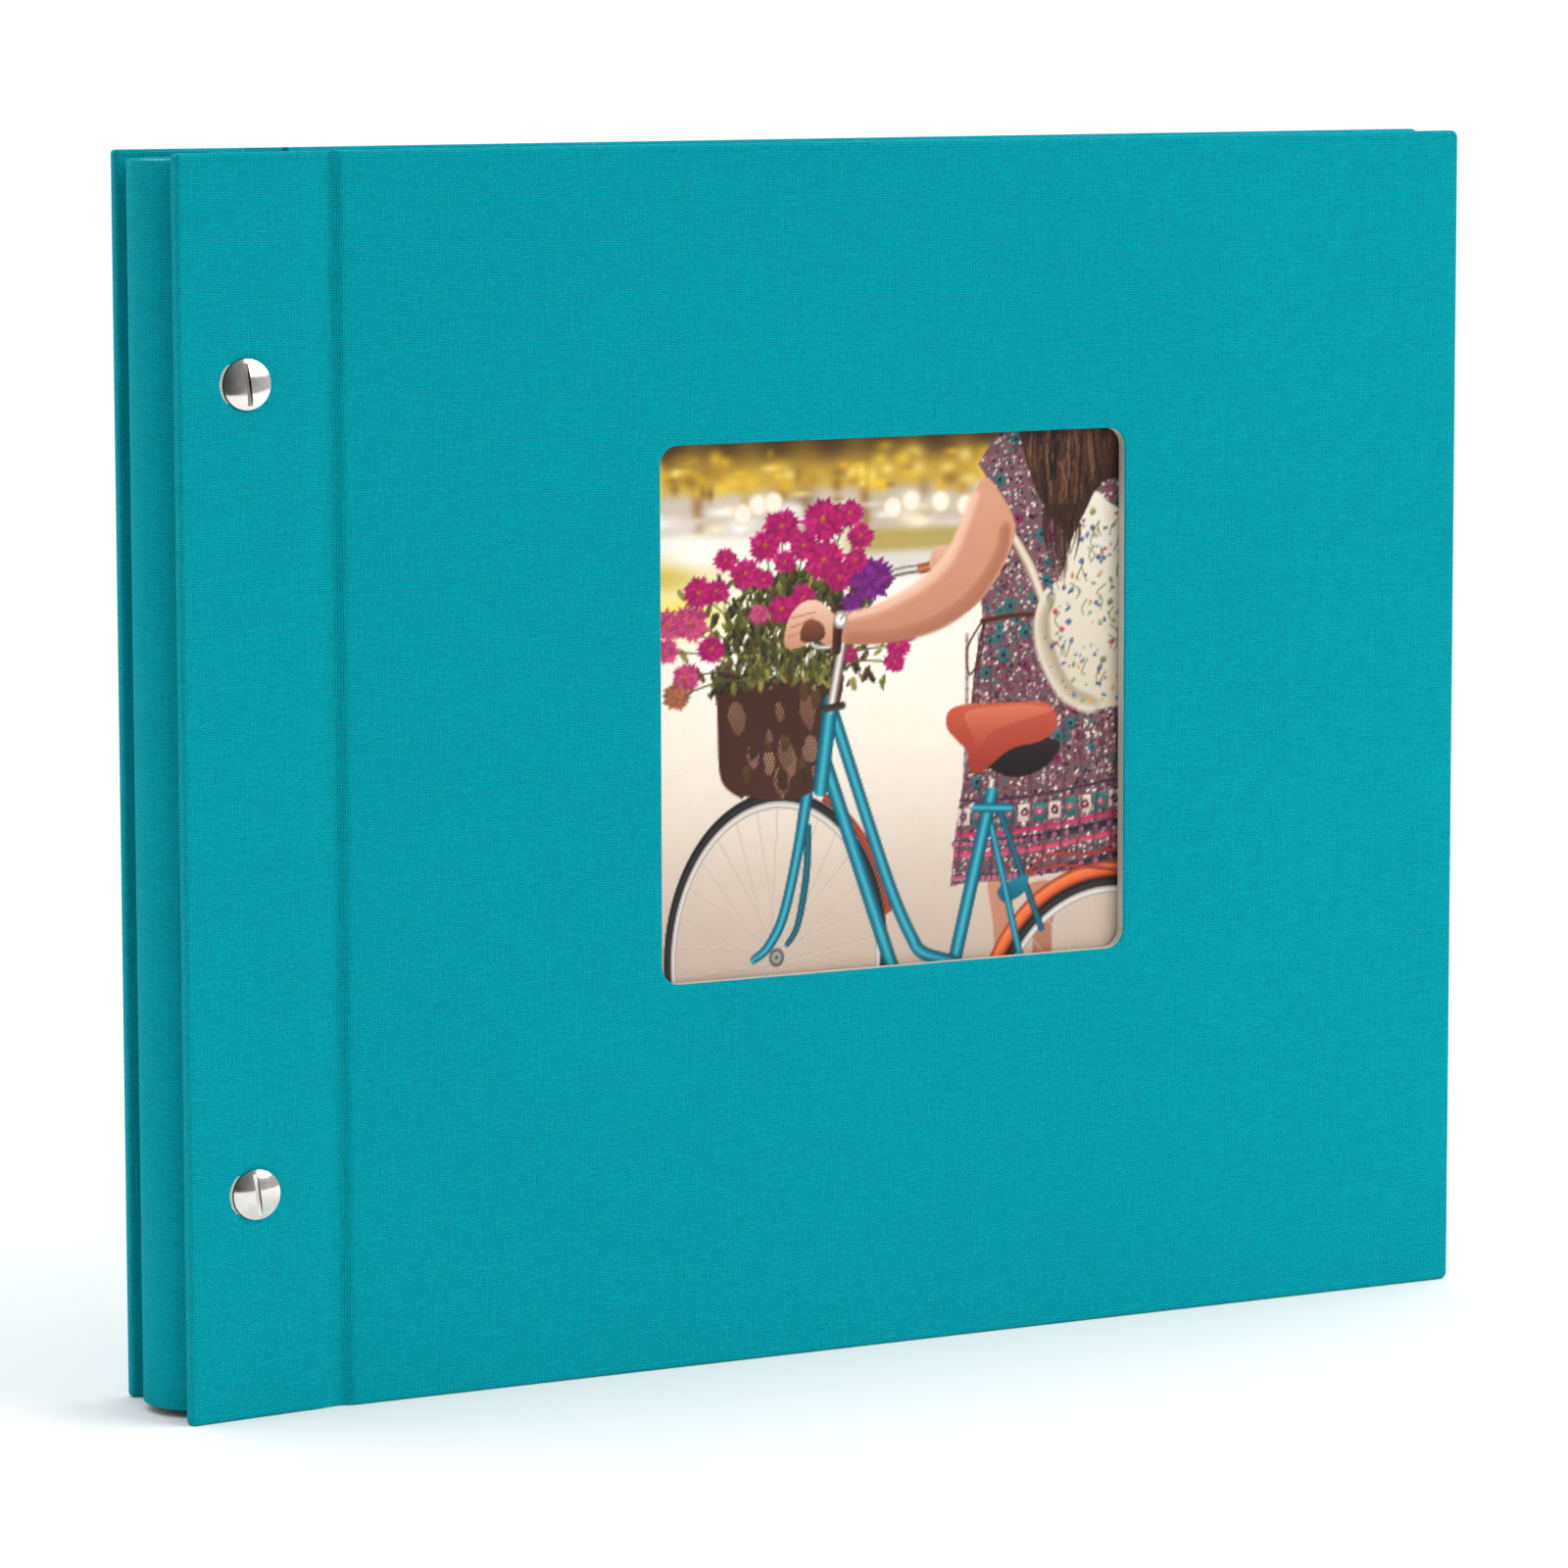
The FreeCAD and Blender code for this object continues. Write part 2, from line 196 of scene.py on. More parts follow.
class Nodes:
    """A material's node tree, with short calls for the nodes that the materials here share."""

    def __init__(self, name):
        self.material = bpy.data.materials.new(name)
        self.material.use_nodes = True
        self.tree = self.material.node_tree
        self.shader = self.tree.nodes["Principled BSDF"]

    def new(self, kind, **settings):
        node = self.tree.nodes.new(kind)
        for key, value in settings.items():
            setattr(node, key, value)
        return node

    def put(self, socket, value):
        if isinstance(value, bpy.types.NodeSocket):
            self.tree.links.new(value, socket)
        elif value is not None:
            socket.default_value = value

    def math(self, operation, a, b=None, c=None):
        node = self.new("ShaderNodeMath", operation=operation)
        for socket, value in zip(node.inputs, (a, b, c)):
            self.put(socket, value)
        return node.outputs[0]

    def ramp(self, value, low, high, to_low=0.0, to_high=1.0):
        node = self.new("ShaderNodeMapRange")
        for key, v in (("Value", value), ("From Min", low), ("From Max", high), ("To Min", to_low),
            ("To Max", to_high)):
            self.put(node.inputs[key], v)
        return node.outputs[0]

    def vector(self, x, y=0.0, z=0.0):
        node = self.new("ShaderNodeCombineXYZ")
        for socket, value in zip(node.inputs, (x, y, z)):
            self.put(socket, value)
        return node.outputs[0]

    def split(self, vector):
        node = self.new("ShaderNodeSeparateXYZ")
        self.put(node.inputs[0], vector)
        return node.outputs

    def noise(self, vector, scale, detail=2.0, rough=0.5):
        node = self.new("ShaderNodeTexNoise")
        self.put(node.inputs["Vector"], vector)
        node.inputs["Scale"].default_value = scale
        node.inputs["Detail"].default_value = detail
        node.inputs["Roughness"].default_value = rough
        return node.outputs[0]

    def uv(self):
        return self.new("ShaderNodeUVMap", uv_map="cloth").outputs[0]

    def object_place(self):
        return self.new("ShaderNodeTexCoord").outputs["Object"]

    def mix(self, factor, a, b, blend="MIX"):
        node = self.new("ShaderNodeMix", data_type="RGBA", blend_type=blend)
        self.put(node.inputs[0], factor)
        self.put(node.inputs[6], a)
        self.put(node.inputs[7], b)
        return node.outputs[2]

    def swing(self, value, amount):
        """A value about 0.5, turned into one about 0 and scaled."""
        return self.math("MULTIPLY", self.math("SUBTRACT", value, 0.5), amount)

    def shade(self, colour, factor):
        """The colour multiplied by a factor that varies over the surface."""
        return self.mix(1.0, colour, self.vector(factor, factor, factor), "MULTIPLY")

    def bump(self, height, strength, distance):
        node = self.new("ShaderNodeBump")
        node.inputs["Strength"].default_value = strength
        node.inputs["Distance"].default_value = distance
        self.put(node.inputs["Height"], height)
        return node.outputs[0]

    def set(self, **values):
        for key, value in values.items():
            self.put(self.shader.inputs[key.replace("_", " ")], value)
        return self.material


def linear(r, g, b):
    """A colour given as 0 to 255 sRGB, as the shaders want it."""
    def one(c):
        c /= 255
        return c / 12.92 if c <= 0.04045 else ((c + 0.055) / 1.055) ** 2.4
    return (one(r), one(g), one(b), 1.0)


def linen(name, colour, pitch=0.00046, depth=0.00011):
    """Plain-weave bookcloth. Threads run along u and v; each has its own tone, and thickens here and there. Painted
    shade darkens the colour where the weave dips between the threads.
    """
    n = Nodes(name)
    uv = n.uv()
    u, v, _ = n.split(uv)
    across = n.math("ADD", n.math("DIVIDE", u, pitch), n.swing(n.noise(uv, 70, 2), 2.4))
    along = n.math("ADD", n.math("DIVIDE", v, pitch * 1.04), n.swing(n.noise(n.vector(v, u, 3.0), 70, 2), 2.4))
    warp, weft = n.math("FLOOR", across), n.math("FLOOR", along)

    def threads(position, other, own, parity):
        body = n.math("ABSOLUTE", n.math("SINE", n.math("MULTIPLY", position, math.pi)))
        phase = n.math("MULTIPLY", n.math("ADD", n.math("ADD", other, own), parity), math.pi)
        return n.math("MULTIPLY", body, n.math("MULTIPLY_ADD", n.math("COSINE", phase), 0.5, 0.5))

    warp_height = threads(across, n.math("SUBTRACT", along, 0.5), warp, 0.0)
    weft_height = threads(along, n.math("SUBTRACT", across, 0.5), weft, 1.0)
    warp_slub = n.noise(n.vector(n.math("MULTIPLY", warp, 3.71), n.math("MULTIPLY", along, 0.11), 1.0), 1.0, 2)
    weft_slub = n.noise(n.vector(n.math("MULTIPLY", across, 0.11), n.math("MULTIPLY", weft, 3.37), 9.0), 1.0, 2)
    on_top = n.math("GREATER_THAN", warp_height, weft_height)
    slub = n.math("ADD", n.math("MULTIPLY", on_top, warp_slub), n.math("MULTIPLY", n.math("SUBTRACT", 1.0, on_top),
        weft_slub))
    weave = n.math("MAXIMUM", warp_height, weft_height)
    # painted shade: the colour is darkest where the weave dips between the threads and lighter on the threads' crowns
    tone = n.math("MULTIPLY_ADD", weave, 0.92, 0.40)
    for value, amount in ((slub, 0.5), (n.noise(uv, 1400, 2, 0.6), 0.55), (n.noise(uv, 22, 3, 0.55), 0.10)):
        tone = n.math("ADD", tone, n.swing(value, amount))
    worn = n.new("ShaderNodeAttribute", attribute_name="edge").outputs["Fac"]
    rubbed = n.math("MULTIPLY", worn, n.ramp(n.noise(uv, 420, 3, 0.6), 0.45, 0.75, 0.0, 0.16))
    pale = tuple(0.8 * c + 0.07 for c in colour[:3]) + (1.0,)
    shaded = n.shade(n.mix(rubbed, colour, pale), tone)
    height = n.math("ADD", weave, n.math("MULTIPLY", slub, 0.55))
    return n.set(Base_Color=shaded, Roughness=n.ramp(weave, 0.0, 1.0, 0.93, 0.80),
                 Normal=n.bump(height, 0.75, depth), Specular_IOR_Level=0.04)


def paper(name, colour, fibre=0.05, bump=0.000012, rough=0.78, flecks=0.0):
    """Card or paper: fine fibres, a faint mottling, and flecks where it is recycled board."""
    n = Nodes(name)
    where = n.object_place()
    x, y, z = n.split(where)
    fibres = n.noise(n.vector(n.math("MULTIPLY", x, 3.0), y, z), 2600, 3, 0.6)
    mottle = n.noise(where, 60, 3, 0.5)
    tone = n.math("ADD", n.ramp(fibres, 0.2, 0.8, 1 - fibre, 1 + fibre), n.ramp(mottle, 0.2, 0.8, -0.02, 0.02))
    shaded = n.shade(colour, tone)
    if flecks:
        spots = n.ramp(n.noise(where, 1500, 2, 0.7), 0.62, 0.72, 0.0, flecks)
        shaded = n.mix(spots, shaded, (0.09, 0.085, 0.08, 1.0))
    return n.set(Base_Color=shaded, Roughness=n.ramp(mottle, 0.3, 0.7, rough - 0.05, rough + 0.05),
                 Normal=n.bump(fibres, 0.6, bump), Specular_IOR_Level=0.3)


def nickel():
    """Plated steel: polished, with fine turning marks about the head's axis and some handling scratches, and painted
    shade that turns the colour near black in the slot and other recesses.
    """
    n = Nodes("nickel_plate")
    where = n.object_place()
    x, y, z = n.split(where)
    scratches = n.noise(n.vector(n.math("MULTIPLY", x, 9.0), y, n.math("MULTIPLY", z, 0.8)), 900, 3, 0.6)
    smudges = n.noise(where, 420, 3, 0.6)
    tint = n.mix(n.ramp(smudges, 0.35, 0.65), (0.66, 0.63, 0.60, 1.0), (0.76, 0.74, 0.72, 1.0))
    # painted shade: where ambient occlusion finds a recess, such as the screw's slot, the colour is mixed towards
    # near black
    recess_occlusion = n.new("ShaderNodeAmbientOcclusion", samples=8)
    recess_occlusion.inputs["Distance"].default_value = 0.0009
    outside_painted_shade = n.ramp(recess_occlusion.outputs["AO"], 0.45, 0.85)
    tint = n.mix(outside_painted_shade, (0.035, 0.028, 0.024, 1.0), tint)
    return n.set(Base_Color=tint, Metallic=1.0, Roughness=n.ramp(smudges, 0.3, 0.7, 0.08, 0.17),
                 Normal=n.bump(scratches, 0.35, 0.00002))


TEAL = linear(4, 158, 172)
LINEN = linen("linen_teal", TEAL)
GREYBOARD = paper("greyboard_raw", linear(196, 194, 184), fibre=0.10, bump=0.00004, rough=0.9, flecks=0.35)
ENDPAPER = paper("endpaper_white", linear(236, 234, 227), fibre=0.03)
CARD = paper("leaf_card_cream", linear(240, 237, 226), fibre=0.035)
NICKEL = nickel()

# ---- cover cloth


def groove_depth(x):
    """The cloth's dip over the hinge: an easy slope down from the strip, and a steeper rise to the board."""
    start, end = STRIP_END - 0.6, BOARD_START + 0.9
    if x < GROOVE_BOTTOM:
        return GROOVE_DEPTH * smooth((x - start) / (GROOVE_BOTTOM - start))
    return GROOVE_DEPTH * smooth((end - x) / (end - GROOVE_BOTTOM))


def thickness(x):
    if x <= STRIP_END:
        return STRIP_THICK
    return BOARD_THICK if x >= BOARD_START else GROOVE_CLOTH


def pressed(x, z):
    """How far a screw or post head presses the strip's cloth in, on its spine side."""
    outer_y = HINGE_Y + (STRIP_END - x) * math.sin(FLARE)
    sink = 0.0
    for screw_z in SCREW_ZS:
        reach = math.hypot(x - SCREW_X, z - screw_z)
        sink = max(sink, max(outer_y - SEAT_Y, -0.02) * (1 - smooth((reach - 5.15) / 1.5)),
            0.12 * (1 - smooth((reach - 5.0) / 2.6)))
    return sink


def on_front(x, depth, z):
    """A point of the front cover: x from the spine edge, depth inwards from the outer face."""
    if x <= STRIP_END:
        turn = FLARE
        base = (STRIP_END + (x - STRIP_END) * math.cos(FLARE), -HINGE_Y + (x - STRIP_END) * math.sin(FLARE))
    elif x >= BOARD_START:
        turn = TAPER
        base = (HINGE_X + (x - HINGE_X) * math.cos(TAPER), -HINGE_Y + (x - HINGE_X) * math.sin(TAPER))
    else:
        part = (x - STRIP_END) / (BOARD_START - STRIP_END)
        turn = FLARE + (TAPER - FLARE) * smooth(part)
        end = -HINGE_Y + (BOARD_START - HINGE_X) * math.sin(TAPER)
        base = (x, -HINGE_Y + (end + HINGE_Y) * part)
    return (base[0] - depth * math.sin(turn), base[1] + depth * math.cos(turn), z)


def edge_profile(x):
    """(inset, depth, length walked) over the board's edge, from the outer face to the inner one."""
    t = thickness(x)
    r = min(EDGE_RADIUS, 0.48 * t)
    arc = quarter(EDGE_STEPS)
    found = [(GRID_INSET, 0.0)]
    found += [(r * (1 - math.sin(a)), r * (1 - math.cos(a))) for a in arc]
    found += [(r * (1 - math.cos(a)), t - r * (1 - math.sin(a))) for a in arc]
    found.append((GRID_INSET, t))
    return [(inset, depth, walked) for (inset, depth), walked in zip(found, walk(found))]


def outline(xs, zs):
    """Round the cover's edge: a function from inset to place, the x whose edge it has, and how its cloth unrolls."""
    found = []

    def corner(corner_x, corner_z, radius, at_x, unroll_u, flip):
        side_x, side_z = (1 if corner_x else -1), (1 if corner_z else -1)
        for a in quarter(CORNER_STEPS):
            out_x, out_z = (math.cos(a), math.sin(a)) if flip else (math.sin(a), math.cos(a))

            def spot(inset, out_x=out_x, out_z=out_z):
                centre, r = max(radius, inset), max(radius - inset, 0.0)
                return corner_x - side_x * (centre - r * out_x), corner_z - side_z * (centre - r * out_z)

            found.append((spot, at_x, unroll_u, corner_z, 0.5 * side_z))

    fore = WIDTH - GRID_INSET
    found += [(lambda d, x=x: (x, d), x, 0, 0, -1) for x in xs]
    corner(WIDTH, 0, FORE_CORNER, fore, 0.5, False)
    found += [(lambda d, z=z: (WIDTH - d, z), fore, 1, z, 0) for z in zs]
    corner(WIDTH, HEIGHT, FORE_CORNER, fore, 0.5, True)
    found += [(lambda d, x=x: (x, HEIGHT - d), x, 0, HEIGHT, 1) for x in reversed(xs)]
    corner(0, HEIGHT, SPINE_CORNER, GRID_INSET, -0.5, False)
    found += [(lambda d, z=z: (d, z), GRID_INSET, -1, z, 0) for z in reversed(zs)]
    corner(0, 0, SPINE_CORNER, GRID_INSET, -0.5, True)
    return found


def cover_cloth(name, mirror, window):
    """One piece of cloth over strip, groove and board, turned in over all the edges."""
    build = Build()
    side = -1.0 if mirror else 1.0
    left, right = WINDOW_LEFT - CUT_MARGIN, WINDOW_LEFT + WINDOW + CUT_MARGIN
    foot, top = WINDOW_FOOT - CUT_MARGIN, WINDOW_FOOT + WINDOW + CUT_MARGIN
    inner = WINDOW_CORNER + CUT_MARGIN
    xs = stations(
        [GRID_INSET], span(2.4, STRIP_END, 0.75), [STRIP_END + 0.15], span(27.5, 35.5, 0.5),
        [BOARD_START - 0.15, BOARD_START], [36.45, 36.9, 38, 42, 50], span(60, left, 9), [left],
        span(left + inner, right - inner, 9), [right], span(right, WIDTH - TURN_IN, 9), [WIDTH - TURN_IN, WIDTH - 6,
            WIDTH - GRID_INSET],
    )
    near_screws = [v for z in SCREW_ZS for v in span(z - 8.4, z + 8.4, 0.7)]
    zs = stations(
        [GRID_INSET, 5, TURN_IN], span(TURN_IN, 36, 8), near_screws, span(54, foot, 8), [foot],
        span(foot + inner, top - inner, 9), [top], span(214, HEIGHT - TURN_IN, 8),
        [HEIGHT - TURN_IN, HEIGHT - 5, HEIGHT - GRID_INSET],
    )

    def outer_depth(x, z):
        return groove_depth(x) + (pressed(x, z) if x < STRIP_END else 0.0)

    def vertex(x, depth, z):
        px, py, pz = on_front(x, depth, z)
        return build.point((px, side * py, pz))

    outer = [[vertex(x, outer_depth(x, z), z) for z in zs] for x in xs]
    lining = [[vertex(x, groove_depth(x) + thickness(x), z) for z in zs] for x in xs]
    for i in range(len(xs) - 1):
        for j in range(len(zs) - 1):
            x, z = (xs[i] + xs[i + 1]) / 2, (zs[j] + zs[j + 1]) / 2
            if not (window and left < x < right and foot < z < top):
                build.cell(outer, xs, zs, i, j)
            if x < BOARD_START or x > WIDTH - TURN_IN or z < TURN_IN or z > HEIGHT - TURN_IN:
                build.cell(lining, xs, zs, i, j, flip=True, shift=LINING_SHIFT)

    around = [(spot, at_x, edge_profile(at_x), u, v0, v) for spot, at_x, u, v0, v in outline(xs, zs)]
    rings = []
    for k in range(len(around[0][2])):
        ring = []
        for spot, at_x, profile, unroll_u, start_v, unroll_v in around:
            inset, depth, walked = profile[k]
            x, z = spot(inset)
            ring.append((vertex(x, groove_depth(at_x) + depth, z), (at_x + unroll_u * walked,
                start_v + unroll_v * walked)))
        rings.append(ring)
    build.bands(rings)

    if window:
        side_x = [x for x in xs if left + inner - 0.1 < x < right - inner + 0.1]
        side_z = [z for z in zs if foot + inner - 0.1 < z < top - inner + 0.1]
        rims = []
        for offset, depth in ((CUT_MARGIN, 0.0), (0.42, 0.0), (0.2, 0.04), (0.06, 0.13), (0.0, 0.25),
            (0.0, CLOTH + 0.02)):
            rim = []

            def corner(cx, cz, start):
                middle = start + math.pi / 4
                for a in quarter(WINDOW_STEPS, start):
                    if offset == CUT_MARGIN:
                        rim.append((cx + math.copysign(inner, math.cos(middle)), cz + math.copysign(inner,
                            math.sin(middle))))
                    else:
                        r = WINDOW_CORNER + offset
                        rim.append((cx + r * math.cos(a), cz + r * math.sin(a)))

            near, far = WINDOW_LEFT + WINDOW_CORNER, WINDOW_LEFT + WINDOW - WINDOW_CORNER
            low, high = WINDOW_FOOT + WINDOW_CORNER, WINDOW_FOOT + WINDOW - WINDOW_CORNER
            rim += [(x, WINDOW_FOOT - offset) for x in side_x]
            corner(far, low, -math.pi / 2)
            rim += [(WINDOW_LEFT + WINDOW + offset, z) for z in side_z]
            corner(far, high, 0.0)
            rim += [(x, WINDOW_FOOT + WINDOW + offset) for x in reversed(side_x)]
            corner(near, high, math.pi / 2)
            rim += [(WINDOW_LEFT - offset, z) for z in reversed(side_z)]
            corner(near, low, math.pi)
            rims.append([(vertex(x, depth, z), (x, z)) for x, z in rim])
        build.bands(rims)

    piece = build.finish(name, [LINEN], outward=lambda c: (0, -side if abs(c.y) > 0.0075 else side, 0))
    mark_edges(piece)
    return piece


def mark_edges(piece, sides=True):
    """Writes how near each point is to a rubbed edge, which the linen uses for its wear."""
    values = piece.data.attributes.new("edge", "FLOAT", "POINT")
    for i, v in enumerate(piece.data.vertices):
        x, z = v.co.x * 1000 + ORIGIN_X, v.co.z * 1000
        near = min(z, HEIGHT - z, *((x, WIDTH - x) if sides else (z - SPINE_INSET, HEIGHT - SPINE_INSET - z)))
        values.data[i].value = 1.0 - smooth(near / WEAR_REACH)


front_cloth = cover_cloth("front_cover_cloth", False, True)
back_cloth = cover_cloth("back_cover_cloth", True, False)
for cloth, cover, replaced, side in (
    (front_cloth, "front_cover", ("front_cloth", "front_hinge_cloth"), -1),
    (back_cloth, "back_cover", ("back_cloth", "back_hinge_cloth"), 1),
):
    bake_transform(cloth)
    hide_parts(*replaced)

# ---- spine


def spine_cover():
    """Cloth over the rounded spine and its flanges, folded over the top and bottom edges."""
    build = Build()
    path = [(x, -SPINE_RADIUS, 0.0, -1.0) for x in span(SPINE_END, SPINE_X, 3)]
    for i in range(1, ROUND_STEPS):
        a = -math.pi / 2 - math.pi * i / ROUND_STEPS
        path.append((SPINE_X + SPINE_RADIUS * math.cos(a), SPINE_RADIUS * math.sin(a), math.cos(a), math.sin(a)))
    path += [(x, SPINE_RADIUS, 0.0, 1.0) for x in span(SPINE_X, SPINE_END, 3)]
    low, high = SPINE_INSET, HEIGHT - SPINE_INSET
    wall, r = SPINE_WALL + 0.012, 0.5
    arc = quarter(EDGE_STEPS)
    profile = [(low + SPINE_FOLD, wall)] + [(low + r * (1 - math.sin(a)), wall - r * (1 - math.cos(a))) for a in arc]
    profile += [(low + r * (1 - math.cos(a)), r * (1 - math.sin(a))) for a in arc]
    profile += [(z, 0.0) for z in span(low + 4, high - 4, 11)]
    profile += [(high - r * (1 - math.sin(a)), r * (1 - math.cos(a))) for a in arc]
    profile += [(high - r * (1 - math.cos(a)), wall - r * (1 - math.sin(a))) for a in arc] + [(high - SPINE_FOLD,
        wall)]
    rows = [[build.point((x - nx * d, y - ny * d, z)) for z, d in profile] for x, y, nx, ny in path]
    build.grid(rows, walk(path), walk(profile), flip=True)
    return build.finish("spine_wrap", [LINEN], outward=lambda c: (c.x - place(SPINE_X, 0, 0)[0], c.y, 0))


spine = spine_cover()
mark_edges(spine, sides=False)
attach(spine, "binding")
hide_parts("spine_cloth")

# ---- leaves


def sides_of(wide, high):
    """The pairs of neighbours round a grid's border."""
    border = [(i, 0) for i in range(wide - 1)] + [(wide - 1, j) for j in range(high - 1)]
    border += [(i, high - 1) for i in range(wide - 1, 0, -1)] + [(0, j) for j in range(high - 1, 0, -1)]
    return zip(border, border[1:] + border[:1])


def page(number):
    """A card leaf with its two score lines, running on into its stub."""
    step = number - (LEAVES + 1) / 2
    crease_y, fore_y = step * PITCH, step * 2 * LEAF_FORE_Y / (LEAVES - 1)
    lean = math.atan((fore_y - crease_y) / (LEAF_END - CREASE_X))
    foot, top = LEAF_MARGIN, HEIGHT - LEAF_MARGIN
    xs = stations([30.5, 31.9, 32.3, 32.6], span(32.8, 35.2, 0.2), span(35.2, 37.6, 0.3), [39, 44, 60],
                  span(60, 285, 25), [292, LEAF_END - 0.1, LEAF_END])
    zs = stations([foot, foot + 0.1, 12], span(12, HEIGHT - 12, 38), [top - 0.1, top])
    build = Build()
    wave = random.Random(number)
    sway, phase = wave.uniform(0.02, 0.07), wave.uniform(0, 6.28)

    def point(x, face, z):
        half = LEAF_HALF
        for score in SCORES:
            half -= SCORE_DEPTH * math.exp(-(((x - score) / SCORE_WIDTH) ** 2))
        if min(LEAF_END - x, z - foot, top - z) < 0.05:
            half *= 0.55  # the cut edges are a little pressed
        bend = sway * math.sin(math.pi * z / HEIGHT * 1.5 + phase) * smooth((x - 60) / 200)
        u, w = x - CREASE_X, face * half + bend
        if x > CREASE_X:
            u, w = u * math.cos(lean) - w * math.sin(lean), u * math.sin(lean) + w * math.cos(lean)
        return build.point((CREASE_X + u, crease_y + w, z))

    sheets = [[[point(x, face, z) for z in zs] for x in xs] for face in (-1, 1)]
    for sheet, flip in zip(sheets, (False, True)):
        build.grid(sheet, xs, zs, flip)
    for (i, j), (k, m) in sides_of(len(xs), len(zs)):
        build.face([sheets[1][i][j], sheets[1][k][m], sheets[0][k][m], sheets[0][i][j]],
                   [(xs[i], zs[j] + 0.3), (xs[k], zs[m] + 0.3), (xs[k], zs[m]), (xs[i], zs[j])])
    piece = build.finish(f"page_{number:02d}", [CARD], sharp=50)
    body = f"leaf_{number:02d}"
    place(32.4, crease_y, 125)
    place(34.6, crease_y, 125)
    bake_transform(piece)
    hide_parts(body)


for number in range(1, LEAVES + 1):
    page(number)

# ---- the print in the window: a generic picture of a bicycle with flowers, and someone seen from behind


class Painter:
    """A small canvas in the window's millimetres, painted back to front. Its inks end up on the print's points."""

    def __init__(self, low, high, step):
        run = np.arange(low + step / 2, high, step)
        self.low, self.step = low, step
        self.x, self.y = np.meshgrid(run, run)
        self.inks = np.zeros(self.x.shape + (3,))

    def part(self, x0, x1, y0, y1):
        """The piece of canvas inside these limits."""
        edge = len(self.inks)

        def cut(low, high):
            return slice(*(min(max(int((v - self.low) / self.step) + k, 0), edge) for v, k in ((low, 0), (high, 2))))

        return cut(y0, y1), cut(x0, x1)

    def lay(self, part, cover, ink):
        under = self.inks[part]
        self.inks[part] = under + cover[..., None] * (ink - under)

    def wash(self, ink, cover):
        self.lay((slice(None), slice(None)), np.clip(cover, 0, 1) * np.ones_like(self.x), np.array(ink, float))

    def fill(self, outline, low_ink, high_ink=None):
        """A plain outline, shaded from its foot to its top."""
        across, up = [p[0] for p in outline], [p[1] for p in outline]
        part = self.part(min(across), max(across), min(up), max(up))
        x, y = self.x[part], self.y[part]
        hit = np.zeros(x.shape, bool)
        for a, b in zip(outline, outline[1:] + outline[:1]):
            if a[1] != b[1]:
                hit ^= ((a[1] > y) != (b[1] > y)) & (x < (b[0] - a[0]) * (y - a[1]) / (b[1] - a[1]) + a[0])
        t = np.clip((y - min(up)) / max(max(up) - min(up), 0.01), 0, 1)[..., None]
        self.lay(part, hit.astype(float), np.array(low_ink, float) * (1 - t) + np.array(high_ink or low_ink,
            float) * t)

    def stroke(self, line, widths, inks, soft=0.12):
        """A band along a line, with the inks laid across it from the left to the right of its direction."""
        widths = widths if isinstance(widths, list) else [widths, widths]
        spread = np.interp(np.linspace(0, 1, len(line)), np.linspace(0, 1, len(widths)), widths)
        stops = np.linspace(0, 1, len(inks))
        for a, b, wa, wb in zip(line, line[1:], spread, spread[1:]):
            dx, dy = b[0] - a[0], b[1] - a[1]
            length = math.hypot(dx, dy) or 1.0
            reach = max(wa, wb) / 2 + soft
            part = self.part(min(a[0], b[0]) - reach, max(a[0], b[0]) + reach,
                             min(a[1], b[1]) - reach, max(a[1], b[1]) + reach)
            x, y = self.x[part] - a[0], self.y[part] - a[1]
            along = np.clip((x * dx + y * dy) / length**2, 0, 1)
            half = (wa + (wb - wa) * along) / 2
            away = np.hypot(x - along * dx, y - along * dy)
            across = np.clip(0.5 - (y * dx - x * dy) / length / (2 * half + 1e-6), 0, 1)
            self.lay(part, np.clip((half - away) / soft + 0.5, 0, 1), blended(across, stops, inks))

    def bend(self, points, *look):
        self.stroke(curve(points), *look)

    def shape(self, points, *inks):
        self.fill(loop(points), *inks)

    def ring(self, centre, radii, inks, squeeze, start=0.0, end=360.0, soft=0.15):
        """Inks laid outwards over an upright ellipse's rings, its width squeezed by this factor."""
        top = radii[-1] + soft
        part = self.part(centre[0] - top * squeeze, centre[0] + top * squeeze, centre[1] - top, centre[1] + top)
        x, y = (self.x[part] - centre[0]) / squeeze, self.y[part] - centre[1]
        away, turn = np.hypot(x, y), np.degrees(np.arctan2(y, x)) % 360
        cover = np.clip((radii[-1] - away) / soft + 0.5, 0, 1) * np.clip((away - radii[0]) / soft + 0.5, 0, 1)
        self.lay(part, cover * ((turn >= start) & (turn <= end)), blended(away, radii, inks))

    def glow(self, x, y, wide, high, ink, strength):
        self.wash(ink, strength * np.exp(-(((self.x - x) / wide) ** 2 + ((self.y - y) / high) ** 2)))


def blended(where, stops, inks):
    """The ink at each value, between the inks at the stops."""
    return np.stack([np.interp(where, stops, [ink[k] for ink in inks]) for k in range(3)], axis=-1)


def mixed(a, b, t):
    return tuple(p + (q - p) * t for p, q in zip(a, b))


def ease(t):
    t = np.clip(t, 0, 1)
    return t * t * (3 - 2 * t)


def curve(points, steps=8, closed=False):
    """A smooth line through the points."""
    count, found = len(points), []
    at = (lambda i: points[i % count]) if closed else (lambda i: points[min(max(i, 0), count - 1)])
    for i in range(count if closed else count - 1):
        for j in range(steps):
            t = j / steps
            found.append(tuple(
                0.5 * (2 * b + (c - a) * t + (2 * a - 5 * b + 4 * c - d) * t * t + (3 * b - a - 3 * c + d) * t**3)
                for a, b, c, d in zip(at(i - 1), at(i), at(i + 1), at(i + 2))
            ))
    return found if closed else found + [tuple(points[-1])]


def loop(points, steps=6):
    return curve(points, steps, True)


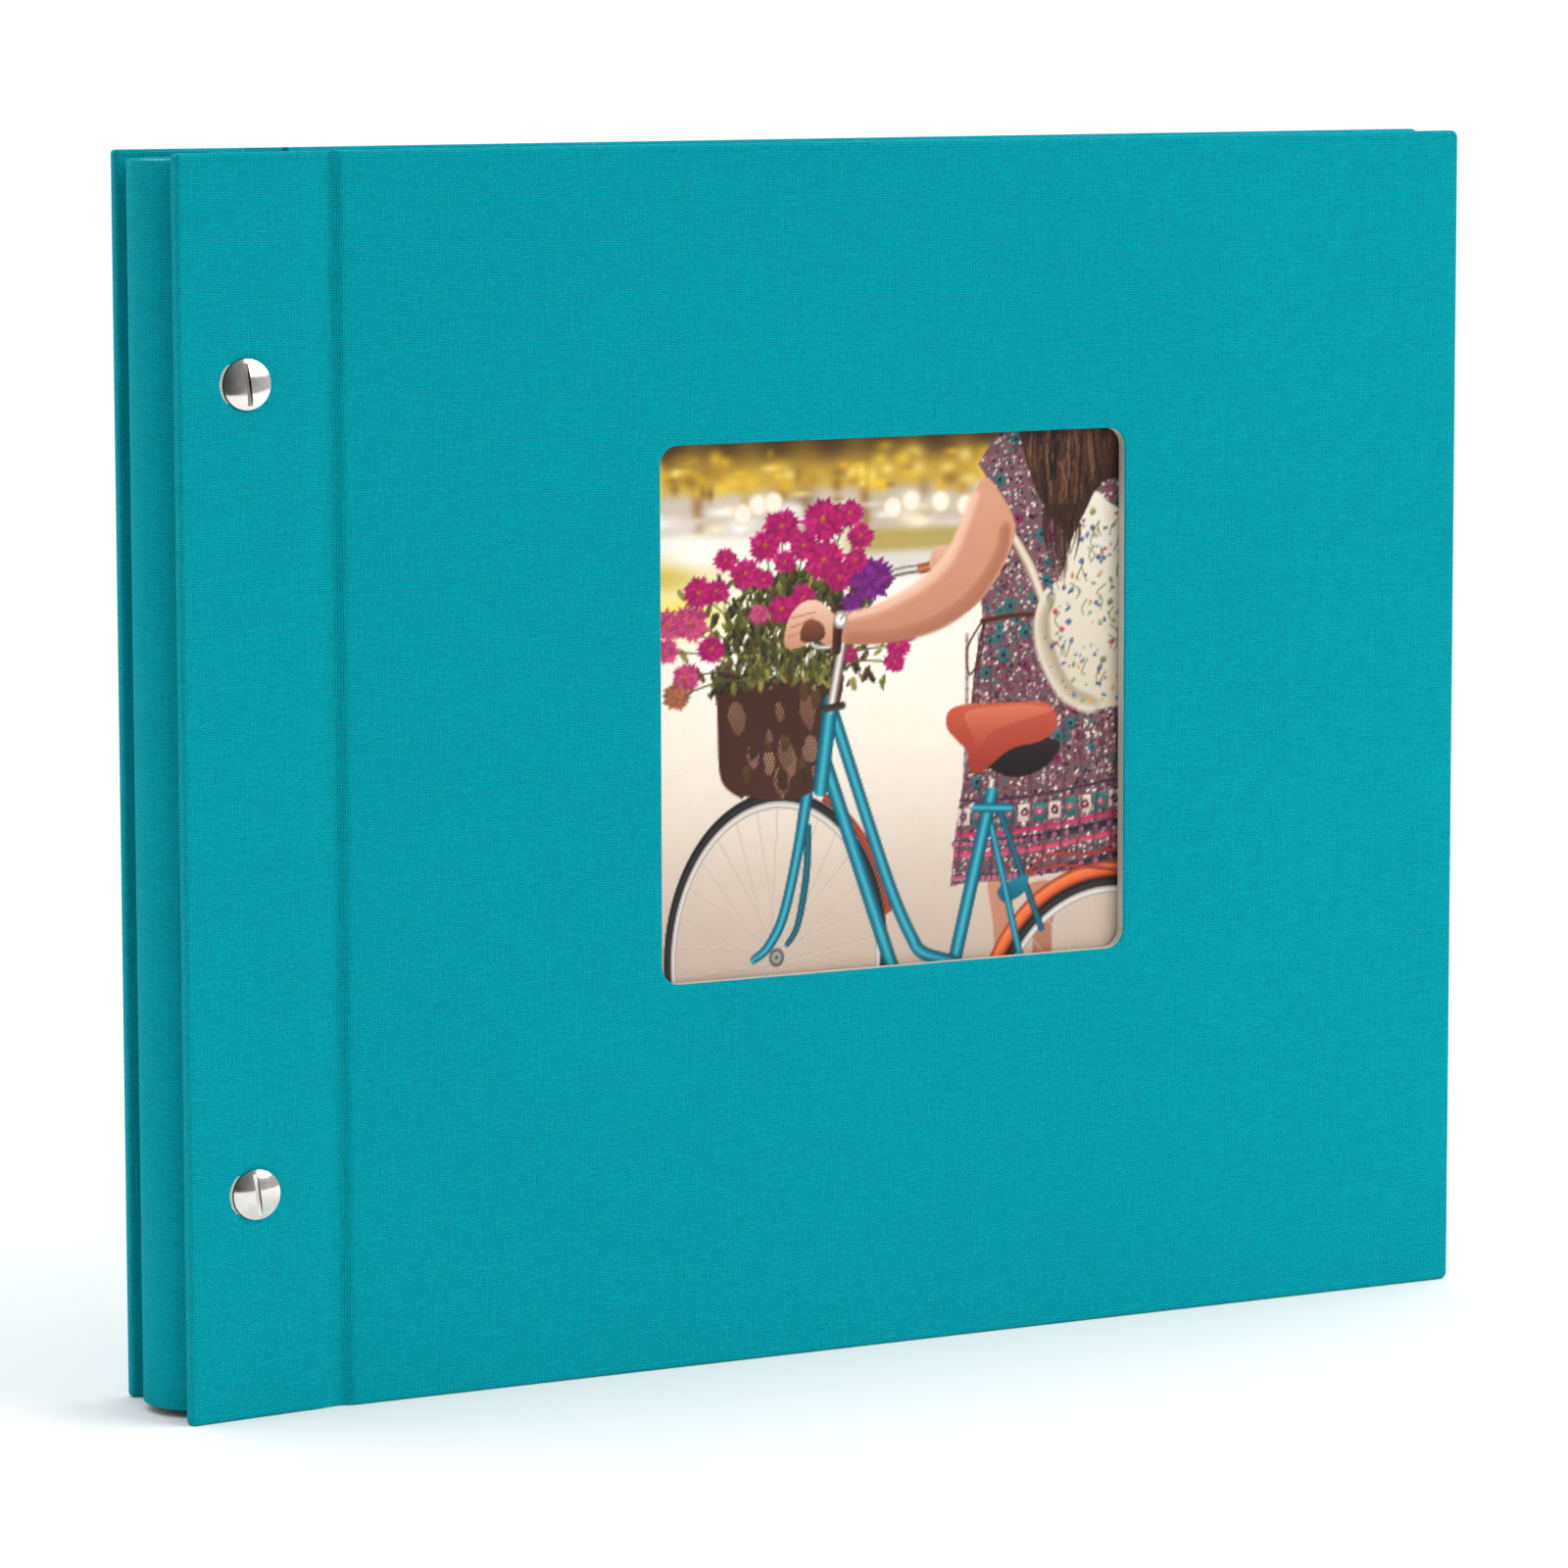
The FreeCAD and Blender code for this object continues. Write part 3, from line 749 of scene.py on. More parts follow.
def inside(p, outline):
    """Whether the outline goes round the point."""
    hit = False
    for a, b in zip(outline, outline[1:] + outline[:1]):
        if (a[1] > p[1]) != (b[1] > p[1]):
            hit ^= p[0] < (b[0] - a[0]) * (p[1] - a[1]) / (b[1] - a[1]) + a[0]
    return hit


def blob(chance, x, y, size, squash=1.0, points=7, turn=None):
    """An uneven round outline."""
    turn = chance.uniform(0, 6.28) if turn is None else turn
    found = []
    for i in range(points):
        a = 2 * math.pi * i / points
        r = size * chance.uniform(0.75, 1.2)
        px, py = r * math.cos(a), r * squash * math.sin(a)
        found.append((x + px * math.cos(turn) - py * math.sin(turn), y + px * math.sin(turn) + py * math.cos(turn)))
    return found


TUBE = [(9, 74, 92), (18, 128, 150), (92, 190, 204), (20, 134, 156), (8, 84, 104)]
SHADED_TUBE = [mixed(c, (8, 50, 66), 0.45) for c in TUBE]
STEEL = [(96, 84, 76), (196, 186, 176), (250, 246, 240), (150, 138, 128), (80, 70, 64)]


def paint_park(art, chance):
    """The blurred park: golden trees, bright gaps between them, lawns and a pale path."""
    draw = chance.uniform
    x, y = art.x, art.y
    art.wash((206, 186, 170), np.ones_like(x))
    art.wash((250, 240, 226), ease(y / 56))
    art.wash((255, 252, 246), 0.8 * np.exp(-(((x - 30) / 40) ** 2 + ((y - 74) / 14) ** 2)))
    art.wash((214, 208, 200), 0.75 * ease((y - 79) / 4) * ease((x - 42) / 10))
    art.wash((186, 164, 92), 0.9 * ease((y - 85) / 2.5) * ease((x - 40) / 10))
    art.wash((206, 192, 176), 0.85 * ease((y - 89.5) / 2.5))
    for trunk, width, ink in ((10, 1.4, (150, 112, 60)), (21, 1.2, (196, 166, 110)), (35, 2.6, (138, 110, 92)),
        (49, 1.3, (150, 112, 60)), (63, 1.6, (150, 124, 90)), (79, 1.8, (170, 140, 80))):
        art.wash(ink, 0.7 * ease((y - 90) / 3) * np.exp(-(((x - trunk) / width) ** 2)))
    art.wash((206, 168, 60), 0.9 * ease((y - 98) / 4))
    art.wash((104, 78, 42), ease((y - 102.5) / 6) * (0.82 + 0.18 * np.sin(x * 0.5)))
    for i in range(120):
        ink = chance.choice([(246, 208, 72), (232, 188, 60), (190, 146, 52), (250, 226, 130), (150, 114, 48)])
        art.glow(draw(-2, 112), chance.gauss(102, 3.4), draw(0.7, 2.6), draw(0.6, 1.8), ink, 0.75)
    for i in range(46):
        ink = chance.choice([(255, 255, 252), (236, 232, 236), (250, 238, 200), (228, 214, 206)])
        art.glow(draw(-2, 84), chance.gauss(94, 2.2), draw(1.0, 4.0), draw(0.6, 1.6), ink, 0.8)
    art.glow(2, 90, 9, 2.0, (244, 240, 240), 0.9)
    art.glow(2, 83, 11, 3.4, (214, 190, 84), 0.9)
    art.glow(4, 75, 12, 4.2, (250, 226, 92), 0.95)
    art.glow(10, 87.5, 6, 3.0, (255, 253, 244), 1.0)
    for x, y in ((24, 97), (27.5, 97.4), (60, 96.4), (67, 96.0), (73, 95.0), (55.6, 95.2), (20.4, 95.2)):
        art.ring((x, y), [0.0, 1.6, 2.2], [(255, 244, 232), (255, 240, 222), (236, 218, 190)], 1.0, soft=0.9)


def paint_bicycle(art):
    """The bicycle, from its wheels up to its saddle."""
    front_hub, rear_hub = (28.0, 3.5), (108.0, -15.0)
    for hub, tyre, squeeze in ((front_hub, 34.5, 0.76), (rear_hub, 30.0, 0.98)):
        art.ring(hub, [tyre - 3.6, tyre - 3.0, tyre - 2.2, tyre - 1.9], [(150, 142, 136), (240, 236, 230),
            (180, 172, 164), (44, 40, 40)], squeeze)
        for i in range(30):
            a = math.radians(i * 12 + 5)
            b = a + math.radians(70 if i % 2 else -70)
            rim = (hub[0] + (tyre - 3.2) * squeeze * math.cos(a), hub[1] + (tyre - 3.2) * math.sin(a))
            core = (hub[0] + 1.2 * math.cos(b), hub[1] + 1.4 * math.sin(b))
            art.stroke([core, rim], 0.24, [(160, 146, 134), (240, 232, 222)], 0.2)
        art.ring(hub, [tyre - 2.0, tyre - 1.4, tyre - 0.4, tyre], [(24, 22, 24), (64, 60, 60), (34, 31, 33),
            (16, 14, 16)], squeeze)
        art.ring(hub, [0.0, 0.8, 1.9], [(60, 54, 50), (190, 184, 178), (70, 62, 58)], 0.9)
    art.ring(rear_hub, [29.8, 30.8, 32.2, 33.2], [(120, 42, 24), (226, 108, 60), (240, 138, 84), (150, 56, 34)], 0.98,
        60, 172)
    art.ring(front_hub, [34.7, 35.5, 36.6], [(96, 34, 26), (200, 88, 62), (130, 48, 36)], 0.76, 12, 66)
    art.bend([(86, 13.4), (92, 20.2), (103, 20.0), (114, 21.4)], 0.7, [(110, 34, 34), (206, 86, 82), (120, 40, 40)])
    art.bend([(86, 16), (96, 18.0), (114, 15.5)], 0.7, [(110, 34, 34), (206, 90, 84), (120, 40, 40)])
    art.bend([(35.5, 30), (35, 20), (33, 10), (30.5, 6)], [1.6, 1.6, 1.1], SHADED_TUBE)
    art.stroke([(81.5, 30), (91.5, 5)], 1.5, SHADED_TUBE)
    art.fill(loop([(81, 14.2), (88, 16.6), (87, 12.8), (82.4, 11.2)], 4), (16, 96, 118), (30, 138, 158))
    art.stroke([(78.4, 31), (87.2, -4)], 1.6, TUBE)
    art.stroke([(79.2, 36.5), (78.4, 32)], 1.9, STEEL)
    art.stroke([(79.2, 34), (69.4, -4)], 3.2, TUBE)
    art.stroke([(75.6, 31.6), (83.4, 31.0)], 2.0, TUBE)
    art.bend([(41.6, 53), (47.6, 36), (55.0, 16), (60.0, 5.5), (63.0, 1.8), (70, -0.5)], 2.8, TUBE)
    art.stroke([(39.6, 43), (56.6, -4)], 3.2, TUBE)
    art.bend([(35.2, 36.5), (33.0, 25), (29.6, 12), (26.0, 5.8), (22.6, 3.4)], [2.8, 2.4, 2.2, 1.6], TUBE)
    art.bend([(50, 76), (52.6, 79.5), (56, 81.6), (63, 82.4)], 1.7, STEEL)
    art.stroke([(62.4, 82.2), (66.4, 82.9)], 2.1, [(130, 64, 34), (214, 138, 92), (120, 58, 30)])
    art.shape([(76.5, 41.5), (84, 37.5), (92, 39.0), (96, 44), (88, 46), (78, 45)], (30, 24, 26), (58, 44, 44))
    seat = [(68.4, 49.0), (69.0, 52.2), (73, 53.4), (82, 53.2), (91, 53.0), (94.6, 51.0), (95.0, 47.2), (91.0, 44.6),
        (84, 43.4), (78.0, 39.6), (74.6, 38.8), (73.4, 43.5), (70.8, 46.0)]
    art.fill(loop(seat), (160, 62, 46), (206, 100, 78))
    art.shape([(73.0, 51.6), (80, 52.6), (89, 52.4), (94, 51.0), (87, 49.4), (80, 47.6), (76.0, 44.4), (74.6, 47.0)],
        (186, 82, 62), (220, 126, 100))


def paint_basket(art, chance):
    """A woven basket with leaves showing through."""
    draw = chance.uniform
    basket = loop([(14.6, 63.6), (28, 60.2), (43.2, 62.4), (41.4, 50), (38.8, 40), (34.5, 36.6), (26, 36.4),
        (18.4, 38.2), (15.2, 42.0), (14.8, 52)])
    art.fill(basket, (88, 56, 46), (74, 46, 36))
    for i in range(26):
        x, y = draw(16, 40), draw(39, 60)
        inks = chance.choice([((160, 122, 100), (186, 148, 122)), ((96, 80, 40), (120, 104, 52)),
            ((196, 158, 132), (206, 172, 146)), ((60, 44, 26), (80, 64, 34))])
        shape = blob(chance, x, y, draw(0.8, 2.0), 1.9, 8, 0.1)
        if all(inside(p, basket) for p in shape):
            art.fill(shape, *inks)
    for i in range(72):
        for lean in (-1, 1):
            run = [(4 + i * 0.7 + lean * (t - 12) * 0.45, 36 + t) for t in range(28)]
            held = [p for p in run if inside(p, basket)]
            if len(held) > 2:
                art.stroke([held[0], held[-1]], 0.2, [(52, 28, 24), (104, 68, 56)], 0.25)
    art.bend([(14.4, 64.2), (21, 61.4), (28.5, 60.2), (36, 60.8), (43.4, 63.0)], 0.9,
        [(156, 98, 90), (100, 54, 46), (60, 30, 26)])
    art.bend([(14.6, 64), (14.8, 50), (15.6, 41.0), (20, 37.2)], 0.7, [(60, 30, 26), (110, 70, 58)])
    art.bend([(43.4, 62.6), (41.4, 50), (38.8, 40)], 0.7, [(60, 30, 26), (110, 70, 58)])


ASTER, ROSE, VIOLET, SEEDHEAD = (196, 24, 110), (216, 92, 134), (112, 34, 140), (172, 132, 62)
BLOOMS = ((29.5, 92.3, 4.3, ASTER), (39.2, 93.2, 5.2, ASTER), (45.5, 94.4, 3.2, ASTER), (25.6, 88.6, 3.8, ASTER),
    (34.6, 88.2, 3.6, ASTER),
          (48.0, 89.6, 3.2, ASTER), (39.4, 85.0, 4.8, ASTER), (16.4, 86.0, 2.8, ASTER), (21.0, 83.0, 3.6,
              ASTER), (25.2, 81.6, 2.4, ASTER),
          (30.2, 85.0, 2.8, ASTER), (43.0, 81.4, 3.6, ASTER), (10.2, 79.6, 3.8, ASTER), (14.4, 79.8, 3.0,
              ASTER), (8.2, 73.4, 4.3, ROSE),
          (2.8, 73.4, 3.8, ROSE), (2.6, 68.0, 3.0, ROSE), (13.0, 68.0, 3.2, ASTER), (7.2, 62.4, 3.4, ROSE), (5.0,
              58.6, 3.2, SEEDHEAD),
          (50.4, 80.6, 5.2, VIOLET), (29.4, 75.4, 3.4, ASTER), (34.4, 77.6, 3.2, ASTER), (46.8, 84.6, 3.0,
              ASTER), (56.8, 66.6, 3.0, ASTER),
          (56.0, 63.2, 2.6, ASTER), (59.6, 68.6, 1.8, ROSE), (45.4, 65.2, 2.0, ASTER), (46.0, 76.0, 2.6,
              VIOLET), (24.0, 74.6, 2.4, ROSE))


def paint_flowers(art, chance):
    """Leaves, stalks and blooms over the basket."""
    draw = chance.uniform
    for i in range(900):
        x = chance.gauss(31, 9.5)
        y = draw(60.5, 84) - abs(x - 31) * 0.12
        ink = chance.choice([(58, 62, 30), (84, 86, 40), (46, 40, 26), (112, 110, 50), (76, 54, 34), (150, 140, 74),
            (36, 34, 22), (40, 36, 26)])
        shape = blob(chance, x, y, draw(0.6, 2.1), 0.4, 6, draw(0.6, 2.5))
        if 5 < x < 56:
            art.fill(shape, ink, mixed(ink, (190, 180, 110), 0.25))
    for x, y, size, petal in BLOOMS:
        art.bend([(x, y), (x * 0.6 + 12, y * 0.55 + 29), (x * 0.35 + 20, 61)], 0.35, [(120, 124, 58), (60, 66, 30)])
    for x, y, size, petal in BLOOMS:
        dark = mixed(petal, (70, 8, 50), 0.55)
        for turn in range(4):
            reach, count = 1.12 * size * (1.0 - 0.22 * turn), 24 - 4 * turn
            for k in range(count):
                a = 2 * math.pi * (k + draw(-0.25, 0.25)) / count + turn
                r = reach * draw(0.80, 1.06)
                ink = mixed(mixed(petal, (246, 100, 170), draw(0.0, 0.4)), dark, draw(0.0, 0.75))
                c, s, w = math.cos(a), math.sin(a), 0.17 * reach
                art.fill([(x, y), (x + 0.6 * r * c - w * s, y + 0.55 * r * s + w * c), (x + r * c, y + 0.88 * r * s),
                    (x + 0.6 * r * c + w * s, y + 0.55 * r * s - w * c)], ink)
        if petal is not VIOLET:
            art.fill(blob(chance, x, y, 0.16 * size, 0.9, 8), (150, 60, 50), (214, 140, 60))


def paint_figure(art, chance):
    """Someone in a summer dress, seen from behind. The window ends below the head, so no face is in the picture."""
    draw = chance.uniform
    art.shape([(78.4, 18), (84.5, 18), (84, 6), (83.4, -4), (80.2, -4), (79.8, 6)], (190, 130, 104), (206, 150, 124))
    art.shape([(88, 14), (95, 14), (94, 4), (93.6, -4), (89.4, -4), (89.4, 5)], (176, 118, 94), (196, 140, 114))
    dress = curve([(76.0, 103.4), (80, 108.5), (87, 114)], 4) + [(116, 114), (116, 19.0)] + curve([(104, 17.0),
        (92, 16.4), (80, 16.6), (69.4, 15.4)], 4)
    dress += curve([(71.0, 30), (73.4, 42), (74.4, 52), (75.4, 62), (77.0, 70.5), (76.6, 78), (78.4, 88),
        (81.4, 95.5), (78.0, 100.5)], 5)
    art.fill(dress, (120, 88, 92), (128, 96, 102))
    threads = [(236, 220, 210), (40, 24, 42), (28, 124, 124), (142, 30, 78), (226, 204, 198), (66, 34, 60),
        (206, 120, 138), (240, 230, 222), (30, 26, 40), (228, 212, 204)]
    for i in range(5200):
        x, y, size = draw(69, 112), draw(16, 112), draw(0.2, 0.5)
        shape, ink = blob(chance, x, y, size, draw(0.5, 1.0), 5), chance.choice(threads)
        if inside((x, y), dress) and inside((x - size, y), dress):
            art.fill(shape, ink)
    for i in range(90):
        x, y = draw(72, 112), draw(36, 110)
        petals, ink = draw(0.9, 1.7), chance.choice([(14, 104, 104), (140, 26, 74), (24, 116, 116), (20, 108, 108)])
        shape = blob(chance, x, y, petals, 0.9, 11)
        if inside((x, y), dress) and inside((x - 2, y), dress) and inside((x, y - 2), dress):
            art.fill(shape, ink, mixed(ink, (120, 190, 190), 0.2))
            art.ring((x, y), [0.0, 0.3 * petals, 0.42 * petals], [(30, 16, 30), (60, 24, 50), (190, 150, 150)], 1.0)
    for y, high, ink in ((33.6, 0.6, (60, 30, 50)), (26.6, 0.9, (196, 36, 88)), (24.6, 1.6, (34, 22, 44)),
        (22.4, 1.0, (212, 64, 100)), (17.4, 1.4, (38, 26, 48))):
        line = curve([(71.8 if y > 30 else 71.2 if y > 25 else 70.6, y - 0.4), (80, y - 0.8), (92, y - 0.2),
            (116, y + 2.6)])
        art.stroke(line, high, [ink, mixed(ink, (255, 255, 255), 0.2)])
        if high > 1.2:
            for k in range(0, len(line) - 1):
                art.ring(line[k], [0.0, 0.3, 0.55], [(216, 90, 120), (190, 60, 100), (230, 200, 200)], 1.0)
    for k in range(12):
        x = 71.0 + k * 3.7
        y = 29.8 + max(0, x - 92) * 0.11
        box, heart = (((20, 104, 104), (46, 136, 130)), ((180, 60, 92), (214, 104, 124))) if k % 2 else (((206, 182,
            172), (228, 212, 202)), ((60, 24, 50), (96, 40, 70)))
        art.fill([(x, y - 1.9), (x + 3.0, y - 1.8), (x + 3.0, y + 1.9), (x, y + 1.8)], *box)
        art.fill(blob(chance, x + 1.5, y, 1.0, 1.0, 9), *heart)
        art.ring((x + 1.5, y), [0.0, 0.35, 0.5], [(236, 210, 200), (200, 150, 150), (90, 40, 60)], 1.0)
    for k in range(11):
        x = 72 + k * 4.1
        sway = draw(-1, 1.4)
        art.bend([(x - 1, 17.5), (x + 0.6, 34), (x + sway, 52), (x * 0.72 + 21.5, 68)], [0.5, 0.2],
            [(84, 52, 66), (112, 78, 88)], 0.9)
    art.bend([(77.0, 70.6), (84, 71.4), (92, 71.4)], 1.1, [(122, 74, 52), (64, 34, 28), (110, 66, 48)])
    art.bend([(77.0, 70.6), (73.4, 65), (74.0, 59.6), (76.6, 63.5), (77.4, 70)], 0.4, [(84, 46, 36), (60, 32, 26)])
    art.bend([(77.4, 70.4), (75.6, 62), (74.4, 52)], 0.4, [(84, 46, 36), (60, 32, 26)])
    # the rucksack
    art.bend([(84.4, 88.0), (88.6, 81), (92.0, 73)], [1.8, 2.4, 1.8], [(206, 190, 166), (240, 230, 212),
        (150, 122, 96)])
    sack = curve([(101.4, 95.5), (105, 96.5), (108, 94), (116, 90)], 4) + [(116, 52)] + curve([(106, 50.6),
        (100, 51.6), (94.6, 55.5), (90.8, 63), (89.8, 70), (91.6, 75.6), (96.0, 79.2), (98.2, 86), (99.8, 92.5)], 5)
    art.fill(sack, (216, 204, 184), (238, 230, 214))
    art.bend([(104, 51.4), (97.5, 54.6), (92.6, 63), (91.4, 70), (93.4, 75)], [2.4, 3.2, 1.6],
        [(226, 216, 198), (176, 160, 138)], 2.2)
    for i in range(170):
        x, y = draw(91, 113), draw(52, 93)
        ink = chance.choice([(74, 92, 140), (110, 130, 84), (188, 56, 72), (140, 160, 108), (62, 78, 120),
            (206, 160, 84), (96, 116, 150)])
        shape = blob(chance, x, y, draw(0.28, 0.85), draw(0.4, 1.0), 6)
        if inside((x, y), sack) and inside((x - 1, y - 1), sack):
            art.fill(shape, ink, mixed(ink, (240, 232, 214), 0.3))
    for i in range(34):
        x, y, lean, drift = draw(93, 111), draw(54, 88), draw(-1, 1), draw(-2, 2)
        if inside((x, y), sack) and inside((x - 2, y - 2), sack):
            art.stroke(curve([(x, y), (x + lean, y + 1.6), (x + drift, y + 3.2)], 4), 0.22,
                [(120, 136, 96), (92, 104, 70)])
    # hair over the shoulders
    hair = curve([(84.6, 114), (87.4, 104), (90.2, 97), (93.0, 92.5), (96.6, 88.5), (98.2, 86), (99.8, 89),
        (102.0, 92.5), (104.6, 97), (108, 99), (116, 99)], 5) + [(116, 114)]
    art.fill(hair, (56, 36, 28), (82, 54, 42))
    for i in range(420):
        x, y, drop, bend, drift = draw(85.5, 114), draw(96, 115), draw(5, 15), draw(-0.9, 0.9), draw(-1.6, 2.6)
        ink = chance.choice([(130, 88, 64), (46, 28, 22), (160, 116, 88), (88, 56, 42), (36, 22, 18), (110, 74, 54)])
        end = (x + drift, y - drop)
        if inside(end, hair):
            art.stroke(curve([(x, y), (x + bend + drift / 3, y - drop / 2), end], 4), [0.4, 0.3, 0.1],
                [ink, mixed(ink, (0, 0, 0), 0.3)], 0.2)
    for i in range(26):
        x, bend, foot = draw(92, 102), draw(-1, 1.4), draw(76, 84)
        art.stroke(curve([(x, 94), (x + bend, 88), (x * 0.5 + 48.5 + bend, foot)], 5), [0.5, 0.3, 0.05],
            [(84, 54, 40), (46, 28, 22)], 0.2)


def paint_stem(art):
    """The head tube and the handlebar's stem, in front of the basket."""
    art.stroke([(38.4, 38), (40.8, 55.5)], 3.6, TUBE)
    art.stroke([(41.0, 54.5), (44.0, 69.0)], 2.4, STEEL)
    art.stroke([(39.0, 54.2), (43.6, 54.8)], 1.6, [(40, 34, 30), (90, 84, 78)])
    art.bend([(44.6, 68.8), (40.5, 67.2), (37.0, 67.6), (35.4, 70.0)], 1.1, STEEL)


def paint_arm(art):
    """The arm reaching for the handlebar, with a plain watch."""
    skin, shade_skin, bright_skin = (218, 160, 130), (172, 110, 84), (246, 208, 184)
    art.fill(loop([(64.4, 82.4), (65.6, 86.4), (69.4, 86.4), (70.5, 82.5), (67.5, 80.0)], 4), (214, 158, 128),
        (232, 184, 158))
    arm = [(77.4, 100.6), (81.6, 96.8), (84.8, 91.0), (84.2, 86.0), (80.6, 79.5), (75.6, 74.0), (70.4, 71.4),
        (63.0, 68.6), (53.0, 67.2), (44.6, 67.6), (42.4, 69.8), (43.6, 72.8), (51, 75.0), (59, 77.4), (66.4,
        81.4), (70.4, 86.6), (73.8, 94.4)]
    art.fill(loop(arm, 5), mixed(skin, shade_skin, 0.3), mixed(skin, bright_skin, 0.1))
    art.bend([(45, 72.8), (53, 74.4), (62, 78.2), (68.4, 82.9), (72.0, 88.4), (75.6, 96.4)], [1.6, 2.6, 2.4],
        [mixed(skin, bright_skin, 0.9), mixed(skin, bright_skin, 0.7), skin], 1.6)
    art.bend([(45.2, 68.8), (54, 68.5), (63.5, 70.0), (70.4, 72.8), (76.0, 77.2), (81.2, 84.2), (82.6, 90.0)],
        [1.6, 2.4, 1.6], [mixed(skin, shade_skin, 0.6), mixed(skin, shade_skin, 0.8)], 1.8)
    art.shape([(30.4, 67.4), (30.2, 70.8), (31.6, 74.2), (34.4, 76.6), (37.8, 76.8), (40.6, 74.8), (42.8, 72.2),
        (43.2, 68.8), (40.0, 67.4), (37.6, 68.8), (34.0, 67.4)], (206, 148, 120), (244, 206, 182))
    for k in range(3):
        art.bend([(31.0 + k * 0.3, 69.6 + k * 1.9), (33.8, 70.4 + k * 1.7), (36.4 + k * 0.5, 72.4 + k * 1.0)], 0.3,
            [(168, 104, 82), (214, 160, 134)])
    art.shape([(33.8, 68.8), (34.2, 71.6), (36.2, 73.0), (39.0, 71.8), (39.4, 69.2), (36.6, 68.2)], (96, 54, 38),
        (150, 92, 66))
    art.stroke([(42.2, 66.4), (42.8, 74.8)], 2.2, [(104, 58, 44), (74, 38, 30), (56, 28, 24)])
    art.ring((43.2, 72.6), [0.0, 1.2, 1.4, 1.9], [(250, 248, 244), (240, 236, 230), (150, 140, 132), (190, 182, 172)],
        0.92)
    art.stroke([(43.2, 72.6), (43.8, 73.4)], 0.2, [(60, 56, 54), (60, 56, 54)])


def paint_print(step):
    """All of the picture, as sRGB inks from 0 to 255 on a square grid, and that grid's stations."""
    art, chance = Painter(-PRINT_BLEED, WINDOW + PRINT_BLEED, step), random.Random(7)
    paint_park(art, chance)
    paint_figure(art, chance)
    paint_bicycle(art)
    paint_basket(art, chance)
    paint_flowers(art, chance)
    paint_stem(art)
    paint_arm(art)
    return art


def ink_material():
    """Photo paper: the painted inks under a satin coat, with the coat's fine grain."""
    n = Nodes("print_ink")
    ink = n.new("ShaderNodeAttribute", attribute_name="ink").outputs["Color"]
    where = n.object_place()
    speck, soft = n.noise(where, 2600, 2, 0.6), n.noise(where, 260, 3, 0.55)
    tone = n.math("ADD", n.ramp(speck, 0.2, 0.8, 0.97, 1.03), n.ramp(soft, 0.25, 0.75, -0.025, 0.025))
    return n.set(Base_Color=n.shade(ink, tone), Roughness=n.ramp(soft, 0.3, 0.7, 0.42, 0.5),
                 Normal=n.bump(speck, 0.15, 0.000006), Specular_IOR_Level=0.2)


def window_print():
    """The print: a thin card, its face a fine grid of points that carry the picture's inks."""
    art = paint_print(PRINT_CELL / 2)
    inks = sum(art.inks[i::2, j::2] for i in (0, 1) for j in (0, 1)) / 4 / 255
    inks = np.where(inks <= 0.04045, inks / 12.92, ((np.clip(inks, 0,
        1) + 0.055) / 1.055) ** 2.4) ** PRINT_DEPTH_OF_TONE
    count = len(inks)
    margin = (PRINT - WINDOW) / 2
    lines = [-margin] + [-PRINT_BLEED + PRINT_CELL * (i + 0.5) for i in range(count)] + [WINDOW + margin]
    build = Build()

    def point(i, j, depth):
        return build.point(on_front(WINDOW_LEFT + lines[i], depth, WINDOW_FOOT + lines[j]))

    edge = count + 1
    face = [[point(i, j, PRINT_DEPTH) for j in range(count + 2)] for i in range(count + 2)]
    build.grid(face, lines, lines)
    back = {(i, j): point(i, j, PRINT_BACK) for i in (0, edge) for j in (0, edge)}
    around = [(0, 0), (0, edge), (edge, edge), (edge, 0)]
    build.face([back[spot] for spot in around], [(lines[i], lines[j]) for i, j in around], mark=1)
    run = range(edge + 1)
    for side in ([(i, 0) for i in run], [(edge, j) for j in run],
                 [(edge - i, edge) for i in run], [(0, edge - j) for j in run]):
        start, end = side[0], side[-1]
        build.face([back[start], back[end]] + [face[i][j] for i, j in side[::-1]],
                   [(lines[i], lines[j]) for i, j in [start, end] + side[::-1]], mark=1)
    white = paper("print_back_white", linear(244, 243, 240), fibre=0.015, rough=0.6)
    piece = build.finish("album_print", [ink_material(), white])
    layer = piece.data.attributes.new("ink", "FLOAT_COLOR", "POINT")
    values = np.ones((len(piece.data.vertices), 4), np.float32)
    where = np.empty(len(piece.data.vertices) * 3, np.float32)
    piece.data.vertices.foreach_get("co", where)
    where = where.reshape(-1, 3).astype(float) * 1000
    across = (where[:, 0] + ORIGIN_X - HINGE_X) / math.cos(TAPER) + HINGE_X - WINDOW_LEFT
    column, row = (np.clip(np.rint((v + PRINT_BLEED) / PRINT_CELL - 0.5), 0, count - 1).astype(int)
                   for v in (across, where[:, 2] - WINDOW_FOOT))
    values[:, :3] = inks[row, column]
    layer.data.foreach_set("color", values.ravel())
    return piece


print_piece = window_print()
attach(print_piece, "print")
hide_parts("window_print")

# ---- CAD nodes that stay

for names, material in (
    (("front_board", "front_hinge_board", "back_board", "back_hinge_board", "spine_board"), GREYBOARD),
    (("front_liner", "back_liner"), ENDPAPER),
    (("window_pocket", "leaf_stubs"), CARD),
    (("binding_posts", "screw_lower", "screw_upper"), NICKEL),
):
    for name in names:
        for slot in nodes[name].material_slots:
            slot.material = material

# ---- room: a plain pale floor, soft lights and the camera


